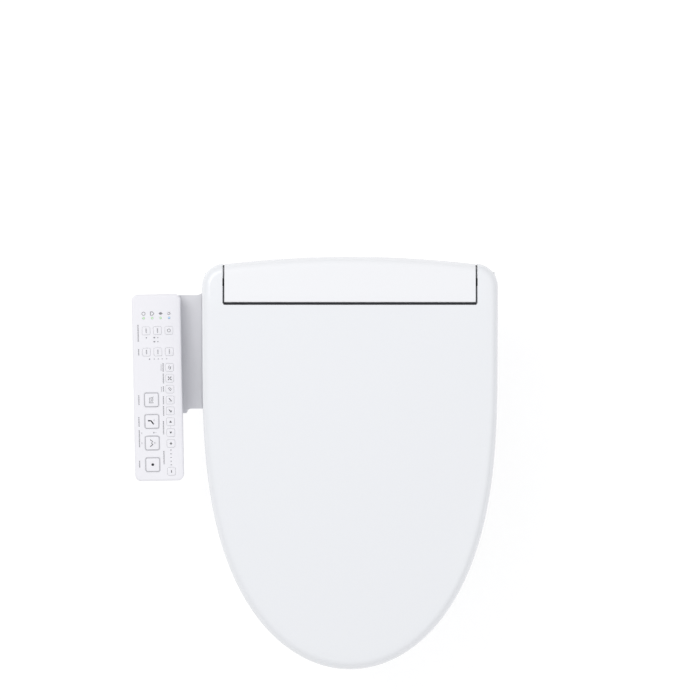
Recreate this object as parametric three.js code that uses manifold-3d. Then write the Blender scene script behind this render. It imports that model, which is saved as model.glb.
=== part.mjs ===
// Electric bidet seat with a fixed side control panel.
//
// Millimetres, +Z up. The origin is the midpoint of the mounting bolt line, on the toilet deck.
// +Y points to the rear of the toilet and the control panel is on the -X side. The lid is closed.

import * as THREE from 'three';
import { mergeVertices } from 'three/addons/utils/BufferGeometryUtils.js';
import Module from 'manifold-3d';

const wasm = await Module();
wasm.setup();

const DEGREE = Math.PI / 180;
const GAP = 0.3; // clearance between two pieces that meet

// Plan outline of the closed lid
const HALF_WIDTH = 190;
const FRONT_Y = -478;
const REAR_Y = 58;
const CURVE_START_Y = -83; // the sides are straight behind this line
const FRONT_POWER = 2.73; // how full the front curve is: 2 is an ellipse
const REAR_RADIUS = 1374; // the rear edge is a very flat arc
const REAR_CORNER = 30;

// Heights
const UNIT_TOP = 145;
const LID_REAR_TOP = 144;
const LID_FRONT_TOP = 62;
const LID_BOTTOM = 30;
const CROWN = 12; // how far the lid would fall from its centre line to its sides at the front

// The hinge line that the seat and the lid share
const HINGE_Y = 25;
const HINGE_Z = 101;
const PIN_RADIUS = 5;
const PIN_END = 185.5;

// Rear unit
const BODY_HALF = 160.5;
const BODY_FRONT = -1.5;
const BODY_REAR = 57;
const SPLIT_Z = 70; // joint between the lower case and the top cover
const FLANK_HALF = 186;
const FLANK_TOP = 35;
const CASE_WALL = 3;
const PLATE_THICKNESS = 3;
const FLOOR_Z = PLATE_THICKNESS + GAP;
const COVER_HALF = 161;
const COVER_FRONT = -1.2;
const COVER_WALL = 2.5;

// The lid notch that the rear unit shows through
const NOTCH_HALF = 163.5;
const NOTCH_RADIUS = 51.9;
const LID_WALL = 3.5;
const LID_EDGE_RADIUS = 12;

// Seat
const SEAT_INSET = 5;
const SEAT_REAR = -20;
const SEAT_CORNER = 10;
const SEAT_BOTTOM = 13;
const SEAT_SPLIT = 17;
const HOLE_CENTRE_Y = -240;
const HOLE_HALF_WIDTH = 108;
const HOLE_HALF_LENGTH = 148;
const HOLE_POWER = 2.25;

// Nose of the lower case, which holds the nozzle and the air outlet
const NOSE_HALF = 56;
const NOSE_FRONT = -76;
const NOZZLE_X = -26;
const NOZZLE_TIP_Y = -70;
const NOZZLE_TIP_Z = 15.5;
const NOZZLE_SLOPE = 15 * DEGREE;
const WAND_RADIUS = 7;
const WAND_LENGTH = 124;
const NOSE_ROOF = WAND_RADIUS / Math.cos(NOZZLE_SLOPE) + 1 + CASE_WALL;

// Warm air dryer
const DUCT_LEFT = 20;
const DUCT_RIGHT = 50;
const DUCT_WALL = 1.5;
const FAN_Y = 27;
const FAN_Z = 99;
const FAN_HOUSING_RADIUS = 24.5;
const FLAP_AXIS_Z = 19.5;

// Control panel
const PANEL_WIDTH = 63;
const PANEL_LENGTH = 242;
const PANEL_CORNER = 8;
const PANEL_CENTRE = new THREE.Vector3(-249.5, -111.4, 69);
const PANEL_TURN = 1.1 * DEGREE; // in plan, about Z
const PANEL_TILT = 1.4 * DEGREE; // the rear end is the higher one
const PANEL_BOTTOM = -20;
const FACE_THICKNESS = 2;
const BUTTON_PROUD = 0.5;
const BUTTON_BOTTOM = -4.4;
const BOARD_TOP = -7.5;

const group = new THREE.Group();
group.name = 'electric_bidet_seat';

// ---------------------------------------------------------------- materials

function plastic(color, roughness) {
  return new THREE.MeshStandardMaterial({ color, roughness, metalness: 0 });
}

function metal(color, roughness) {
  return new THREE.MeshStandardMaterial({ color, roughness, metalness: 1 });
}

const glossyWhite = () => plastic(0xf2f3f5, 0.22);
const unitWhite = () => plastic(0xf5f6f8, 0.25);
const panelWhite = () => plastic(0xf0eff3, 0.4);
const caseGrey = () => plastic(0xd9dadd, 0.5);
const darkPlastic = () => plastic(0x3c3f44, 0.55);
const rubber = () => plastic(0xb9bbbd, 0.9);
const boardGreen = () => plastic(0x2f6b45, 0.6);
const foil = () => metal(0xc9ccd1, 0.35);
const steel = () => metal(0xb8bbc0, 0.3);
const brass = () => metal(0xc3a15a, 0.35);
const clearLens = () => plastic(0xdfe8e4, 0.15);

// ------------------------------------------------------------ solid helpers

function toSolid(geometry) {
  const bare = geometry.clone();
  bare.deleteAttribute('normal');
  bare.deleteAttribute('uv');
  const merged = mergeVertices(bare, 1e-4);
  const vertProperties = new Float32Array(merged.attributes.position.array);
  const triVerts = new Uint32Array(merged.index.array);
  return new wasm.Manifold(new wasm.Mesh({ numProp: 3, vertProperties, triVerts }));
}

function toGeometry(solid) {
  const mesh = solid.getMesh();
  const geometry = new THREE.BufferGeometry();
  geometry.setAttribute('position', new THREE.BufferAttribute(mesh.vertProperties, 3));
  geometry.setIndex(new THREE.BufferAttribute(mesh.triVerts, 1));
  geometry.computeVertexNormals();
  return geometry;
}

function join(...pieces) {
  return toGeometry(pieces.map(toSolid).reduce((sum, piece) => sum.add(piece)));
}

function cut(base, ...tools) {
  return toGeometry(tools.map(toSolid).reduce((rest, tool) => rest.subtract(tool), toSolid(base)));
}

function common(first, second) {
  return toGeometry(toSolid(first).intersect(toSolid(second)));
}

function block(xMin, xMax, yMin, yMax, zMin, zMax) {
  const box = new THREE.BoxGeometry(xMax - xMin, yMax - yMin, zMax - zMin);
  return box.translate((xMin + xMax) / 2, (yMin + yMax) / 2, (zMin + zMax) / 2);
}

// Cylinders along X, Y and Z: radius, two stations on that axis, then the other two coordinates.
function rodX(radius, from, to, y, z, sides = 20) {
  const rod = new THREE.CylinderGeometry(radius, radius, to - from, sides);
  return rod.rotateZ(-Math.PI / 2).translate((from + to) / 2, y, z);
}

function rodY(radius, from, to, x, z, sides = 20) {
  const rod = new THREE.CylinderGeometry(radius, radius, to - from, sides);
  return rod.translate(x, (from + to) / 2, z);
}

function rodZ(radius, from, to, x, y, sides = 20) {
  const rod = new THREE.CylinderGeometry(radius, radius, to - from, sides);
  return rod.rotateX(Math.PI / 2).translate(x, y, (from + to) / 2);
}

// Extrudes a shape drawn in plan (x, y) between two heights.
function extrudeUp(shape, zMin, zMax, curveSegments = 6) {
  const options = { depth: zMax - zMin, bevelEnabled: false, curveSegments };
  return new THREE.ExtrudeGeometry(shape, options).translate(0, 0, zMin);
}

// Extrudes a side view drawn as (y, z) between two x stations.
function extrudeAcross(shape, xMin, xMax, curveSegments = 10) {
  const options = { depth: xMax - xMin, bevelEnabled: false, curveSegments };
  const solid = new THREE.ExtrudeGeometry(shape, options);
  // shape x becomes y, shape y becomes z, depth becomes x
  const turn = new THREE.Matrix4().set(0, 0, 1, xMin, 1, 0, 0, 0, 0, 1, 0, 0, 0, 0, 0, 1);
  return solid.applyMatrix4(turn);
}

// Extrudes a front view drawn as (x, z) between two y stations.
function extrudeBack(shape, yMin, yMax, curveSegments = 10) {
  const options = { depth: yMax - yMin, bevelEnabled: false, curveSegments };
  return new THREE.ExtrudeGeometry(shape, options).rotateX(Math.PI / 2).translate(0, yMax, 0);
}

// Two stations measured outwards from the centre line, in rising order on the side asked for.
function mirrored(inner, outer, sign) {
  return [inner * sign, outer * sign].sort((a, b) => a - b);
}

function polygon(points) {
  return new THREE.Shape(points.map(([x, y]) => new THREE.Vector2(x, y)));
}

function roundedRectangle(width, height, radius, x = 0, y = 0, steps = 2) {
  const points = [];
  for (const [sideX, sideY, start] of [[1, -1, -90], [1, 1, 0], [-1, 1, 90], [-1, -1, 180]]) {
    const centreX = x + sideX * (width / 2 - radius);
    const centreY = y + sideY * (height / 2 - radius);
    for (let step = 0; step <= steps; step += 1) {
      const angle = (start + (90 * step) / steps) * DEGREE;
      points.push([centreX + radius * Math.cos(angle), centreY + radius * Math.sin(angle)]);
    }
  }
  return polygon(points);
}

// Skins a row of rings, each a list of points that run the same way round. A looped row joins its
// last ring to its first one; any other row is closed by a fan at each end.
function loft(rings, looped = false) {
  const count = rings[0].length;
  const points = rings.flat();
  const faces = [];
  const rows = looped ? rings.length : rings.length - 1;
  for (let row = 0; row < rows; row += 1) {
    const low = row * count;
    const high = ((row + 1) % rings.length) * count;
    for (let i = 0; i < count; i += 1) {
      const next = (i + 1) % count;
      faces.push(low + i, low + next, high + next, low + i, high + next, high + i);
    }
  }
  if (!looped) {
    closeWithFan(points, faces, rings[0], 0, true);
    closeWithFan(points, faces, rings[rings.length - 1], (rings.length - 1) * count, false);
  }
  const geometry = new THREE.BufferGeometry().setFromPoints(points);
  geometry.setIndex(faces);
  return facingOut(geometry);
}

function closeWithFan(points, faces, ring, start, reversed) {
  const centre = ring.reduce((sum, p) => sum.add(p), new THREE.Vector3()).divideScalar(ring.length);
  const hub = points.push(centre) - 1;
  for (let i = 0; i < ring.length; i += 1) {
    const here = start + i;
    const next = start + ((i + 1) % ring.length);
    faces.push(hub, ...(reversed ? [next, here] : [here, next]));
  }
}

// Turns a closed mesh the right way out when its faces look inwards.
function facingOut(geometry) {
  const index = geometry.index.array;
  const [a, b, c] = [new THREE.Vector3(), new THREE.Vector3(), new THREE.Vector3()];
  let volume = 0;
  for (let i = 0; i < index.length; i += 3) {
    a.fromBufferAttribute(geometry.attributes.position, index[i]);
    b.fromBufferAttribute(geometry.attributes.position, index[i + 1]);
    c.fromBufferAttribute(geometry.attributes.position, index[i + 2]);
    volume += a.dot(b.cross(c));
  }
  if (volume < 0) {
    index.reverse();
  }
  return geometry;
}

function add(name, geometry, material, parent = group) {
  const mesh = new THREE.Mesh(geometry, material);
  mesh.name = name;
  parent.add(mesh);
  return mesh;
}

// Builds the right-hand piece and its mirror image on the left.
function addPair(stem, build, material) {
  for (const [side, sign] of [['left', -1], ['right', 1]]) {
    add(`${stem}_${side}`, build(sign), material());
  }
}

// ----------------------------------------------------------------- outlines

function rearEdge(x, rear) {
  return rear - (x * x) / (2 * REAR_RADIUS);
}

// The plan outline, counter-clockwise from the front tip and moved inwards by `inset`.
function planOutline(
  inset, rear = REAR_Y - inset, corner = REAR_CORNER - inset, bowed = true, rearSteps = 2,
) {
  const width = HALF_WIDTH - inset;
  const length = CURVE_START_Y - FRONT_Y - inset;
  const slope = bowed ? Math.asin((width - corner) / REAR_RADIUS) : 0;
  const edge = (x) => (bowed ? rearEdge(x, rear) : rear);
  const half = [];
  const frontSteps = 14;
  for (let step = 0; step <= frontSteps; step += 1) {
    const angle = (Math.PI / 2) * (1 - step / frontSteps);
    const reach = Math.sin(angle) ** (2 / FRONT_POWER);
    half.push([width * Math.cos(angle), CURVE_START_Y - length * reach]);
  }
  const centreX = width - corner;
  const centreY = edge(centreX + corner * Math.sin(slope)) - corner * Math.cos(slope);
  const cornerSteps = 3;
  for (let step = 0; step <= cornerSteps; step += 1) {
    const angle = ((Math.PI / 2 - slope) * step) / cornerSteps;
    half.push([centreX + corner * Math.cos(angle), centreY + corner * Math.sin(angle)]);
  }
  for (let step = 1; step < rearSteps; step += 1) {
    const x = centreX * (1 - step / rearSteps);
    half.push([x, edge(x)]);
  }
  const otherHalf = half.slice(1).reverse().map(([x, y]) => [-x, y]);
  return [...half, [0, edge(0)], ...otherHalf];
}

function lift(outline, height) {
  return outline.map(([x, y]) => new THREE.Vector3(x, y, height(x, y)));
}

// Point of the seat hole in the direction of an outer point.
function holePoint([x, y]) {
  const dx = x / HOLE_HALF_WIDTH;
  const dy = (y - HOLE_CENTRE_Y) / HOLE_HALF_LENGTH;
  const size = (Math.abs(dx) ** HOLE_POWER + Math.abs(dy) ** HOLE_POWER) ** (1 / HOLE_POWER);
  return [x / size, HOLE_CENTRE_Y + (y - HOLE_CENTRE_Y) / size];
}

// A plan outline of the rear unit: straight front and sides, bowed rear edge.
function unitShape(half, front, rear, corner) {
  const shape = new THREE.Shape();
  const cornerX = half - corner;
  shape.moveTo(-half, front);
  shape.lineTo(half, front);
  shape.lineTo(half, rearEdge(cornerX, rear) - corner);
  shape.absarc(cornerX, rearEdge(cornerX, rear) - corner, corner, 0, Math.PI / 2);
  shape.lineTo(cornerX / 2, rearEdge(cornerX / 2, rear));
  shape.lineTo(0, rear);
  shape.lineTo(-cornerX / 2, rearEdge(cornerX / 2, rear));
  shape.lineTo(-cornerX, rearEdge(cornerX, rear));
  shape.absarc(-cornerX, rearEdge(cornerX, rear) - corner, corner, Math.PI / 2, Math.PI);
  return shape;
}

// Height of the nose roof over the line y, following the slope of the nozzle.
function noseRoof(y) {
  return NOZZLE_TIP_Z + (y - NOZZLE_TIP_Y) * Math.tan(NOZZLE_SLOPE) + NOSE_ROOF;
}

// ---------------------------------------------------------------------- lid

function lidTop(x, y) {
  const forward = Math.max(0, -y / -FRONT_Y);
  const fall = (LID_REAR_TOP - LID_FRONT_TOP) * forward ** 1.15;
  return LID_REAR_TOP - fall - CROWN * forward * (x / HALF_WIDTH) ** 2;
}

// Solid under the lid's top face, moved inwards and down by `inset`.
function lidBody(inset, bottom) {
  const radius = LID_EDGE_RADIUS - inset;
  const rings = [lift(planOutline(inset), () => bottom)];
  const edgeSteps = 3;
  for (let step = 0; step <= edgeSteps; step += 1) {
    const angle = (Math.PI / 2) * (step / edgeSteps);
    const inwards = radius * (1 - Math.cos(angle));
    const down = radius * (1 - Math.sin(angle));
    rings.push(lift(planOutline(inset + inwards), (x, y) => lidTop(x, y) - inset - down));
  }
  const outer = planOutline(LID_EDGE_RADIUS);
  for (const share of [0.75, 0.5, 0.25]) {
    const ring = outer.map(([x, y]) => [x * share, -190 + (y + 190) * share]);
    rings.push(lift(ring, (x, y) => lidTop(x, y) - inset));
  }
  return loft(rings);
}

// Side view of the lid: its lower edge sweeps up and round the hinge.
function lidSideView() {
  const radius = NOTCH_RADIUS - 2;
  const start = -115 * DEGREE;
  const shape = new THREE.Shape();
  shape.moveTo(-500, 200);
  shape.lineTo(-500, LID_BOTTOM);
  shape.lineTo(-75, LID_BOTTOM);
  const meetY = HINGE_Y + radius * Math.cos(start);
  const meetZ = HINGE_Z + radius * Math.sin(start);
  shape.quadraticCurveTo(-20, LID_BOTTOM + 4, meetY, meetZ);
  shape.absarc(HINGE_Y, HINGE_Z, radius, start, 0);
  shape.lineTo(REAR_Y + 40, HINGE_Z);
  shape.lineTo(REAR_Y + 40, 200);
  return shape;
}

const LID_BOSS = { inner: 177, outer: 188, radius: 12 };
const LID_REST = { x: 118, y: -345, top: 60, radius: 8, padRadius: 6.5, seatGap: 0.4 };

function lidShell() {
  const outer = lidBody(0, 0);
  const hollow = cut(outer, lidBody(LID_WALL, -10));
  const bosses = [];
  for (const sign of [-1, 1]) {
    const [from, to] = mirrored(LID_BOSS.inner, LID_BOSS.outer, sign);
    bosses.push(rodX(LID_BOSS.radius, from, to, HINGE_Y, HINGE_Z));
    bosses.push(rodZ(LID_REST.radius, LID_REST.top, LID_REAR_TOP, sign * LID_REST.x, LID_REST.y, 12));
  }
  return cut(
    join(common(hollow, extrudeAcross(lidSideView(), -250, 250, 6)), common(join(...bosses), outer)),
    rodX(NOTCH_RADIUS, -NOTCH_HALF, NOTCH_HALF, HINGE_Y, HINGE_Z, 60),
    block(-NOTCH_HALF, NOTCH_HALF, HINGE_Y, REAR_Y + 30, 40, 180),
    block(-LID_BOSS.inner, LID_BOSS.inner, HINGE_Y, REAR_Y + 30, 0, HINGE_Z + 10),
    rodX(PIN_RADIUS + GAP, -PIN_END - 0.5, PIN_END + 0.5, HINGE_Y, HINGE_Z),
  );
}

function lidBumper(sign) {
  const bottom = seatTop(LID_REST.x, LID_REST.y) + LID_REST.seatGap;
  return rodZ(LID_REST.padRadius, bottom, LID_REST.top - GAP, sign * LID_REST.x, LID_REST.y, 12);
}

// --------------------------------------------------------------------- seat

// Rises from 0 at the front of the seat to 1 at its rear.
function rearShare(y) {
  const share = THREE.MathUtils.clamp((y - FRONT_Y) / (SEAT_REAR - FRONT_Y), 0, 1);
  return share ** 2;
}

const seatRim = (y) => SEAT_SPLIT + 6 + 18 * rearShare(y);
const seatCrest = (y) => 42 + 18 * rearShare(y);

// Height of the seat over a point that is a share `across` of the way from its edge to its hole.
function seatHeight(y, across) {
  const dome = Math.sqrt(1 - Math.abs(2 * across - 1) ** 3);
  const rim = seatRim(y) - 4 * across;
  return rim + (seatCrest(y) - rim) * dome;
}

// Height of the seat at a point, taken from the nearest of a fan of points on its face.
function seatTop(x, y) {
  let best = { distance: Infinity };
  for (const outer of seatOutline()) {
    const inner = holePoint(outer);
    for (let across = 0; across <= 1; across += 0.05) {
      const px = outer[0] + (inner[0] - outer[0]) * across;
      const py = outer[1] + (inner[1] - outer[1]) * across;
      const distance = Math.hypot(px - x, py - y);
      if (distance < best.distance) {
        best = { distance, height: seatHeight(py, across) };
      }
    }
  }
  return best.height;
}

function seatOutline() {
  return planOutline(SEAT_INSET, SEAT_REAR, SEAT_CORNER, false, 5);
}

// A ring of the seat, a share `across` of the way from the outer edge to the hole.
function seatRing(across, height) {
  const ring = seatOutline().map((outer) => {
    const inner = holePoint(outer);
    return [outer[0] + (inner[0] - outer[0]) * across, outer[1] + (inner[1] - outer[1]) * across];
  });
  return lift(ring, height);
}

// Ring-shaped solid under the seat's top face, moved inwards by `margin` and down by `depth`.
function seatBody(margin, depth, bottom, steps) {
  const rings = [seatRing(margin, () => bottom)];
  for (let step = 0; step <= steps; step += 1) {
    const across = (1 - Math.cos((Math.PI * step) / steps)) / 2;
    const place = margin + (1 - 2 * margin) * across;
    rings.push(seatRing(place, (x, y) => seatHeight(y, across) - depth));
  }
  rings.push(seatRing(1 - margin, () => bottom));
  return loft(rings, true);
}

// The channel under the rear of the seat that clears the nose.
function noseChannel(spare, side) {
  const view = polygon([
    [-135, -20], [0, -20], [0, noseRoof(0) + spare], [NOSE_FRONT - 6, noseRoof(NOSE_FRONT - 6) + spare],
    [-135, noseRoof(NOSE_FRONT - 6) + spare],
  ]);
  return extrudeAcross(view, -NOSE_HALF - side, NOSE_HALF + side);
}

const SEAT_ARM = { inner: 165.5, outer: 175.5, radius: 14 };

function seatArm(sign) {
  const { radius } = SEAT_ARM;
  const shape = new THREE.Shape();
  shape.moveTo(-62, 26);
  shape.lineTo(-24, 32);
  shape.lineTo(HINGE_Y + radius * Math.cos(-50 * DEGREE), HINGE_Z + radius * Math.sin(-50 * DEGREE));
  shape.absarc(HINGE_Y, HINGE_Z, radius, -50 * DEGREE, 135 * DEGREE);
  shape.lineTo(-62, 46);
  const [from, to] = mirrored(SEAT_ARM.inner, SEAT_ARM.outer, sign);
  return extrudeAcross(shape, from, to, 8);
}

function seatTopShell() {
  const outer = seatBody(0, 0, SEAT_SPLIT, 7);
  const hollow = cut(outer, seatBody(0.045, 3, SEAT_SPLIT - 2, 5));
  const liner = common(outer, noseChannel(5, 7));
  return cut(
    join(hollow, liner, seatArm(-1), seatArm(1)),
    noseChannel(2, 4),
    rodX(PIN_RADIUS + GAP, -180, 180, HINGE_Y, HINGE_Z),
  );
}

function seatBottomShell() {
  const top = SEAT_SPLIT - GAP;
  const rings = [
    seatRing(0.03, () => SEAT_BOTTOM),
    seatRing(0, () => SEAT_BOTTOM + 2),
    seatRing(0, () => top),
    seatRing(1, () => top),
    seatRing(1, () => SEAT_BOTTOM + 2),
    seatRing(0.97, () => SEAT_BOTTOM),
  ];
  return cut(loft(rings, true), noseChannel(2, 4));
}

// Heating foil on a former inside the seat, clear of the nose channel.
function seatHeater() {
  const low = 20;
  const high = 21.5;
  const rings = [
    seatRing(0.22, () => low),
    seatRing(0.22, () => high),
    seatRing(0.78, () => high),
    seatRing(0.78, () => low),
  ];
  return cut(loft(rings, true), noseChannel(8, 12));
}

function seatBumper(x, y) {
  const angle = Math.atan2(y - HOLE_CENTRE_Y, x);
  const foot = extrudeUp(roundedRectangle(12, 26, 5.9, 0, 0, 4), 0, SEAT_BOTTOM - GAP);
  return foot.rotateZ(angle).translate(x, y, 0);
}

// ---------------------------------------------------------------- rear unit

function noseShape(wall) {
  const front = NOSE_FRONT + wall;
  return polygon([
    [front + 4 - wall / 2, wall], [40, wall], [40, noseRoof(BODY_FRONT) - wall],
    [BODY_FRONT, noseRoof(BODY_FRONT) - wall], [front + 2, noseRoof(front + 2) - wall * 1.02],
    [front, noseRoof(front) - wall - 3], [front, wall + 4],
  ]);
}

const POCKET = { halfWidth: 13, front: 34, top: 34, x: 95 };
const BOLT_X = 70;
const BOLT = { radius: 4, hole: 4.5, headRadius: 10, headTop: 9, wellRadius: 13, wellTop: 14 };
const PLATE = { half: 115, front: -10, rear: 32 };
const INLET = { radius: 8, z: 17 };
const GLAND = { radius: 6, z: 17 };

function pocket(sign, grow) {
  const half = POCKET.halfWidth + grow;
  const x = sign * POCKET.x;
  return block(x - half, x + half, POCKET.front - grow, REAR_Y + 10, -10, POCKET.top + grow);
}

const NOZZLE_WINDOW = {
  left: NOZZLE_X - 9.5,
  right: NOZZLE_X + 9.5,
  bottom: 2.8,
  top: 24.5,
};
const FLAP = { left: 22, right: 48, bottom: 6.5, top: 21 };
const RELEASE = {
  front: 26.5,
  rear: 39.5,
  bottom: 13.5,
  top: 24.5,
  root: 174,
  face: 189,
  play: 0.5,
};
const DRAIN = { y: 12, z: 19, radius: 8 };

function lowerCase() {
  const inner = CASE_WALL;
  const floor = FLOOR_Z + CASE_WALL;
  const outer = join(
    extrudeUp(unitShape(BODY_HALF, BODY_FRONT, BODY_REAR, 8), 0, SPLIT_Z),
    extrudeUp(unitShape(FLANK_HALF, BODY_FRONT, BODY_REAR - 3, 26), 0, FLANK_TOP),
    extrudeAcross(noseShape(0), -NOSE_HALF, NOSE_HALF),
  );
  const room = join(
    extrudeUp(unitShape(BODY_HALF - inner, BODY_FRONT + inner, BODY_REAR - inner, 6), floor, SPLIT_Z + 1),
    extrudeUp(
      unitShape(FLANK_HALF - inner, BODY_FRONT + inner, BODY_REAR - 3 - inner, 24), floor, FLANK_TOP - inner,
    ),
    extrudeAcross(noseShape(inner), -NOSE_HALF + inner, NOSE_HALF - inner),
  );
  const overPlate = block(
    -PLATE.half - inner, PLATE.half + inner, PLATE.front - inner, PLATE.rear + inner, 0, floor,
  );
  const clearOfPlate = cut(room, overPlate);
  const lined = cut(outer, cut(clearOfPlate, pocket(-1, inner), pocket(1, inner)));
  return cut(
    lined,
    pocket(-1, 0),
    pocket(1, 0),
    block(-PLATE.half - GAP, PLATE.half + GAP, PLATE.front - GAP, PLATE.rear + GAP, -1, FLOOR_Z),
    rodZ(BOLT.wellRadius, -1, BOLT.wellTop, -BOLT_X, 0),
    rodZ(BOLT.wellRadius, -1, BOLT.wellTop, BOLT_X, 0),
    block(
      NOZZLE_WINDOW.left, NOZZLE_WINDOW.right, NOSE_FRONT - 5, NOSE_FRONT + 8,
      NOZZLE_WINDOW.bottom, NOZZLE_WINDOW.top,
    ),
    block(FLAP.left, FLAP.right, NOSE_FRONT - 5, NOSE_FRONT + 4, FLAP.bottom, FLAP.top),
    rodY(INLET.radius + GAP, 20, POCKET.front + 1, POCKET.x, INLET.z),
    rodY(GLAND.radius + GAP, 20, POCKET.front + 1, -POCKET.x, GLAND.z),
    block(
      170, 190, RELEASE.front - RELEASE.play, RELEASE.rear + RELEASE.play,
      RELEASE.bottom - RELEASE.play, RELEASE.top + RELEASE.play,
    ),
    rodX(DRAIN.radius + 0.5, 175, 190, DRAIN.y, DRAIN.z),
  );
}

// Side view of the top cover at one x station.
function coverSection(x, inset) {
  const top = UNIT_TOP - inset;
  const rear = rearEdge(x, BODY_REAR) - inset;
  const front = COVER_FRONT + inset;
  const radius = 12 - inset;
  const bottom = SPLIT_Z + GAP - inset * 2;
  const section = [[front, bottom], [rear, bottom]];
  const steps = 4;
  for (let step = 0; step <= steps; step += 1) {
    const angle = (Math.PI / 2) * (step / steps);
    section.push([rear - radius + radius * Math.cos(angle), top - radius + radius * Math.sin(angle)]);
  }
  section.push([front + 0.8, top], [front, top - 0.8]);
  return section.map(([y, z]) => new THREE.Vector3(x, y, z));
}

function coverBody(inset) {
  const half = COVER_HALF - inset;
  const rings = [];
  const steps = 4;
  for (let step = 0; step <= steps; step += 1) {
    rings.push(coverSection(half * (-1 + (2 * step) / steps), inset));
  }
  return loft(rings);
}

function topCover() {
  return cut(
    coverBody(0),
    coverBody(COVER_WALL),
    rodX(PIN_RADIUS + GAP, -COVER_HALF - 1, COVER_HALF + 1, HINGE_Y, HINGE_Z),
  );
}

function basePlate() {
  return cut(
    block(-PLATE.half, PLATE.half, PLATE.front, PLATE.rear, 0, PLATE_THICKNESS),
    rodZ(BOLT.hole, -1, PLATE_THICKNESS + 1, -BOLT_X, 0),
    rodZ(BOLT.hole, -1, PLATE_THICKNESS + 1, BOLT_X, 0),
  );
}

function mountingBolt(sign) {
  const x = sign * BOLT_X;
  const head = rodZ(BOLT.headRadius, PLATE_THICKNESS + GAP, BOLT.headTop, x, 0, 6);
  return join(head, rodZ(BOLT.radius, 0.5, PLATE_THICKNESS + 1, x, 0, 12));
}

// A soft-close damper: its body sits in the unit and its shaft is a hinge pin.
function damper(sign) {
  const [bodyFrom, bodyTo] = mirrored(118, 157.5, sign);
  const [shaftFrom, shaftTo] = mirrored(150, PIN_END, sign);
  return join(
    rodX(11, bodyFrom, bodyTo, HINGE_Y, HINGE_Z),
    rodX(PIN_RADIUS, shaftFrom, shaftTo, HINGE_Y, HINGE_Z),
  );
}

function waterHeaterTank() {
  const profile = [[0, -34], [14, -34], [17, -31], [17, 31], [14, 34], [5, 34], [5, 40], [0, 40]];
  const tank = new THREE.LatheGeometry(profile.map(([r, h]) => new THREE.Vector2(r, h)), 20);
  return tank.rotateZ(-Math.PI / 2).translate(-82, FAN_Y, 68);
}

function solenoidValve() {
  return join(
    block(84, 106, 8, 28, 40, 58),
    rodZ(8, 57, 80, 95, 18, 20),
    rodX(4, 76, 86, 18, 49, 16),
  );
}

function waterInlet() {
  const profile = [[0, 0], [11, 0], [11, 3], [8, 3], [8, 19], [6, 20], [0, 20]];
  const nipple = new THREE.LatheGeometry(profile.map(([r, h]) => new THREE.Vector2(r, h)), 16);
  const stub = rodY(INLET.radius - 0.1, POCKET.front - 8, POCKET.front + 1, POCKET.x, INLET.z, 16);
  return join(nipple.translate(POCKET.x, POCKET.front + GAP, INLET.z), stub);
}

function cordGland() {
  const profile = [[0, 0], [9, 0], [9, 2.5], [6.5, 3], [5, 16], [3, 16], [3, 4], [0, 4]];
  const gland = new THREE.LatheGeometry(profile.map(([r, h]) => new THREE.Vector2(r, h)), 16);
  const stub = rodY(GLAND.radius - 0.1, POCKET.front - 7, POCKET.front + 1, -POCKET.x, GLAND.z, 16);
  return join(gland.translate(-POCKET.x, POCKET.front + GAP, GLAND.z), stub);
}

function drainPlug() {
  const knob = rodX(DRAIN.radius, 172, 188.5, DRAIN.y, DRAIN.z);
  return cut(knob, block(187, 190, DRAIN.y - 7, DRAIN.y + 7, DRAIN.z - 1, DRAIN.z + 1));
}

function releaseButton() {
  const { root, face, front, rear, bottom, top } = RELEASE;
  return block(root, face, front, rear, bottom, top);
}

// The board stands upright at the rear of the unit, with its components on the front face.
function mainBoard() {
  const face = 44;
  const board = block(-105, 14, face, face + 1.6, 90, 130);
  const components = [
    { x: -95, z: 96, width: 14, height: 16, depth: 7.5 },
    { x: -72, z: 98, width: 10, height: 20, depth: 10.5 },
    { x: -50, z: 96, width: 18, height: 12, depth: 6.5 },
    { x: -20, z: 100, width: 12, height: 12, depth: 11.5 },
  ];
  const parts = components.map(
    ({ x, z, width, height, depth }) => block(x, x + width, face - depth, face + 0.5, z, z + height),
  );
  return join(board, ...parts);
}

function powerSupply() {
  return join(
    block(-156, -114, 5, 38, 8, 11),
    block(-150, -120, 9, 35, 10.5, 44),
    block(-146, -124, 4, 41, 18, 36),
  );
}

// ------------------------------------------------------------------- nozzle

const RACK = { module: 1.5, teeth: 10, pitchZ: -8.5, contactY: 48, halfWidth: 3 };
const RACK_TIP = RACK.pitchZ - 0.8 * RACK.module;
const RACK_ROOT = RACK.pitchZ + 0.84 * RACK.module;
const PINION_RADIUS = (RACK.module * RACK.teeth) / 2;
const TOOTH_PITCH = Math.PI * RACK.module;

const nozzleFrame = new THREE.Group();
nozzleFrame.position.set(NOZZLE_X, NOZZLE_TIP_Y, NOZZLE_TIP_Z);
nozzleFrame.rotation.x = NOZZLE_SLOPE;
group.add(nozzleFrame);

// The wand lies along the nozzle frame's Y, with its tip at the origin.
function nozzleWand() {
  const profile = [[0, 0], [4.5, 0], [6.2, 1.2], [7, 4], [7, 27], [6.4, 28], [6.4, 30], [7, 31]];
  profile.push([7, WAND_LENGTH], [0, WAND_LENGTH]);
  const body = new THREE.LatheGeometry(profile.map(([r, h]) => new THREE.Vector2(r, h)), 16);
  const spray = [];
  for (let row = 0; row < 3; row += 1) {
    spray.push(rodZ(0.9, 5, 8, 0, 9 + row * 3.5, 6));
  }
  const flatTop = block(-5, 5, 4, 22, 6.2, 9);
  return join(cut(body, flatTop, ...spray), nozzleRack());
}

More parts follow.
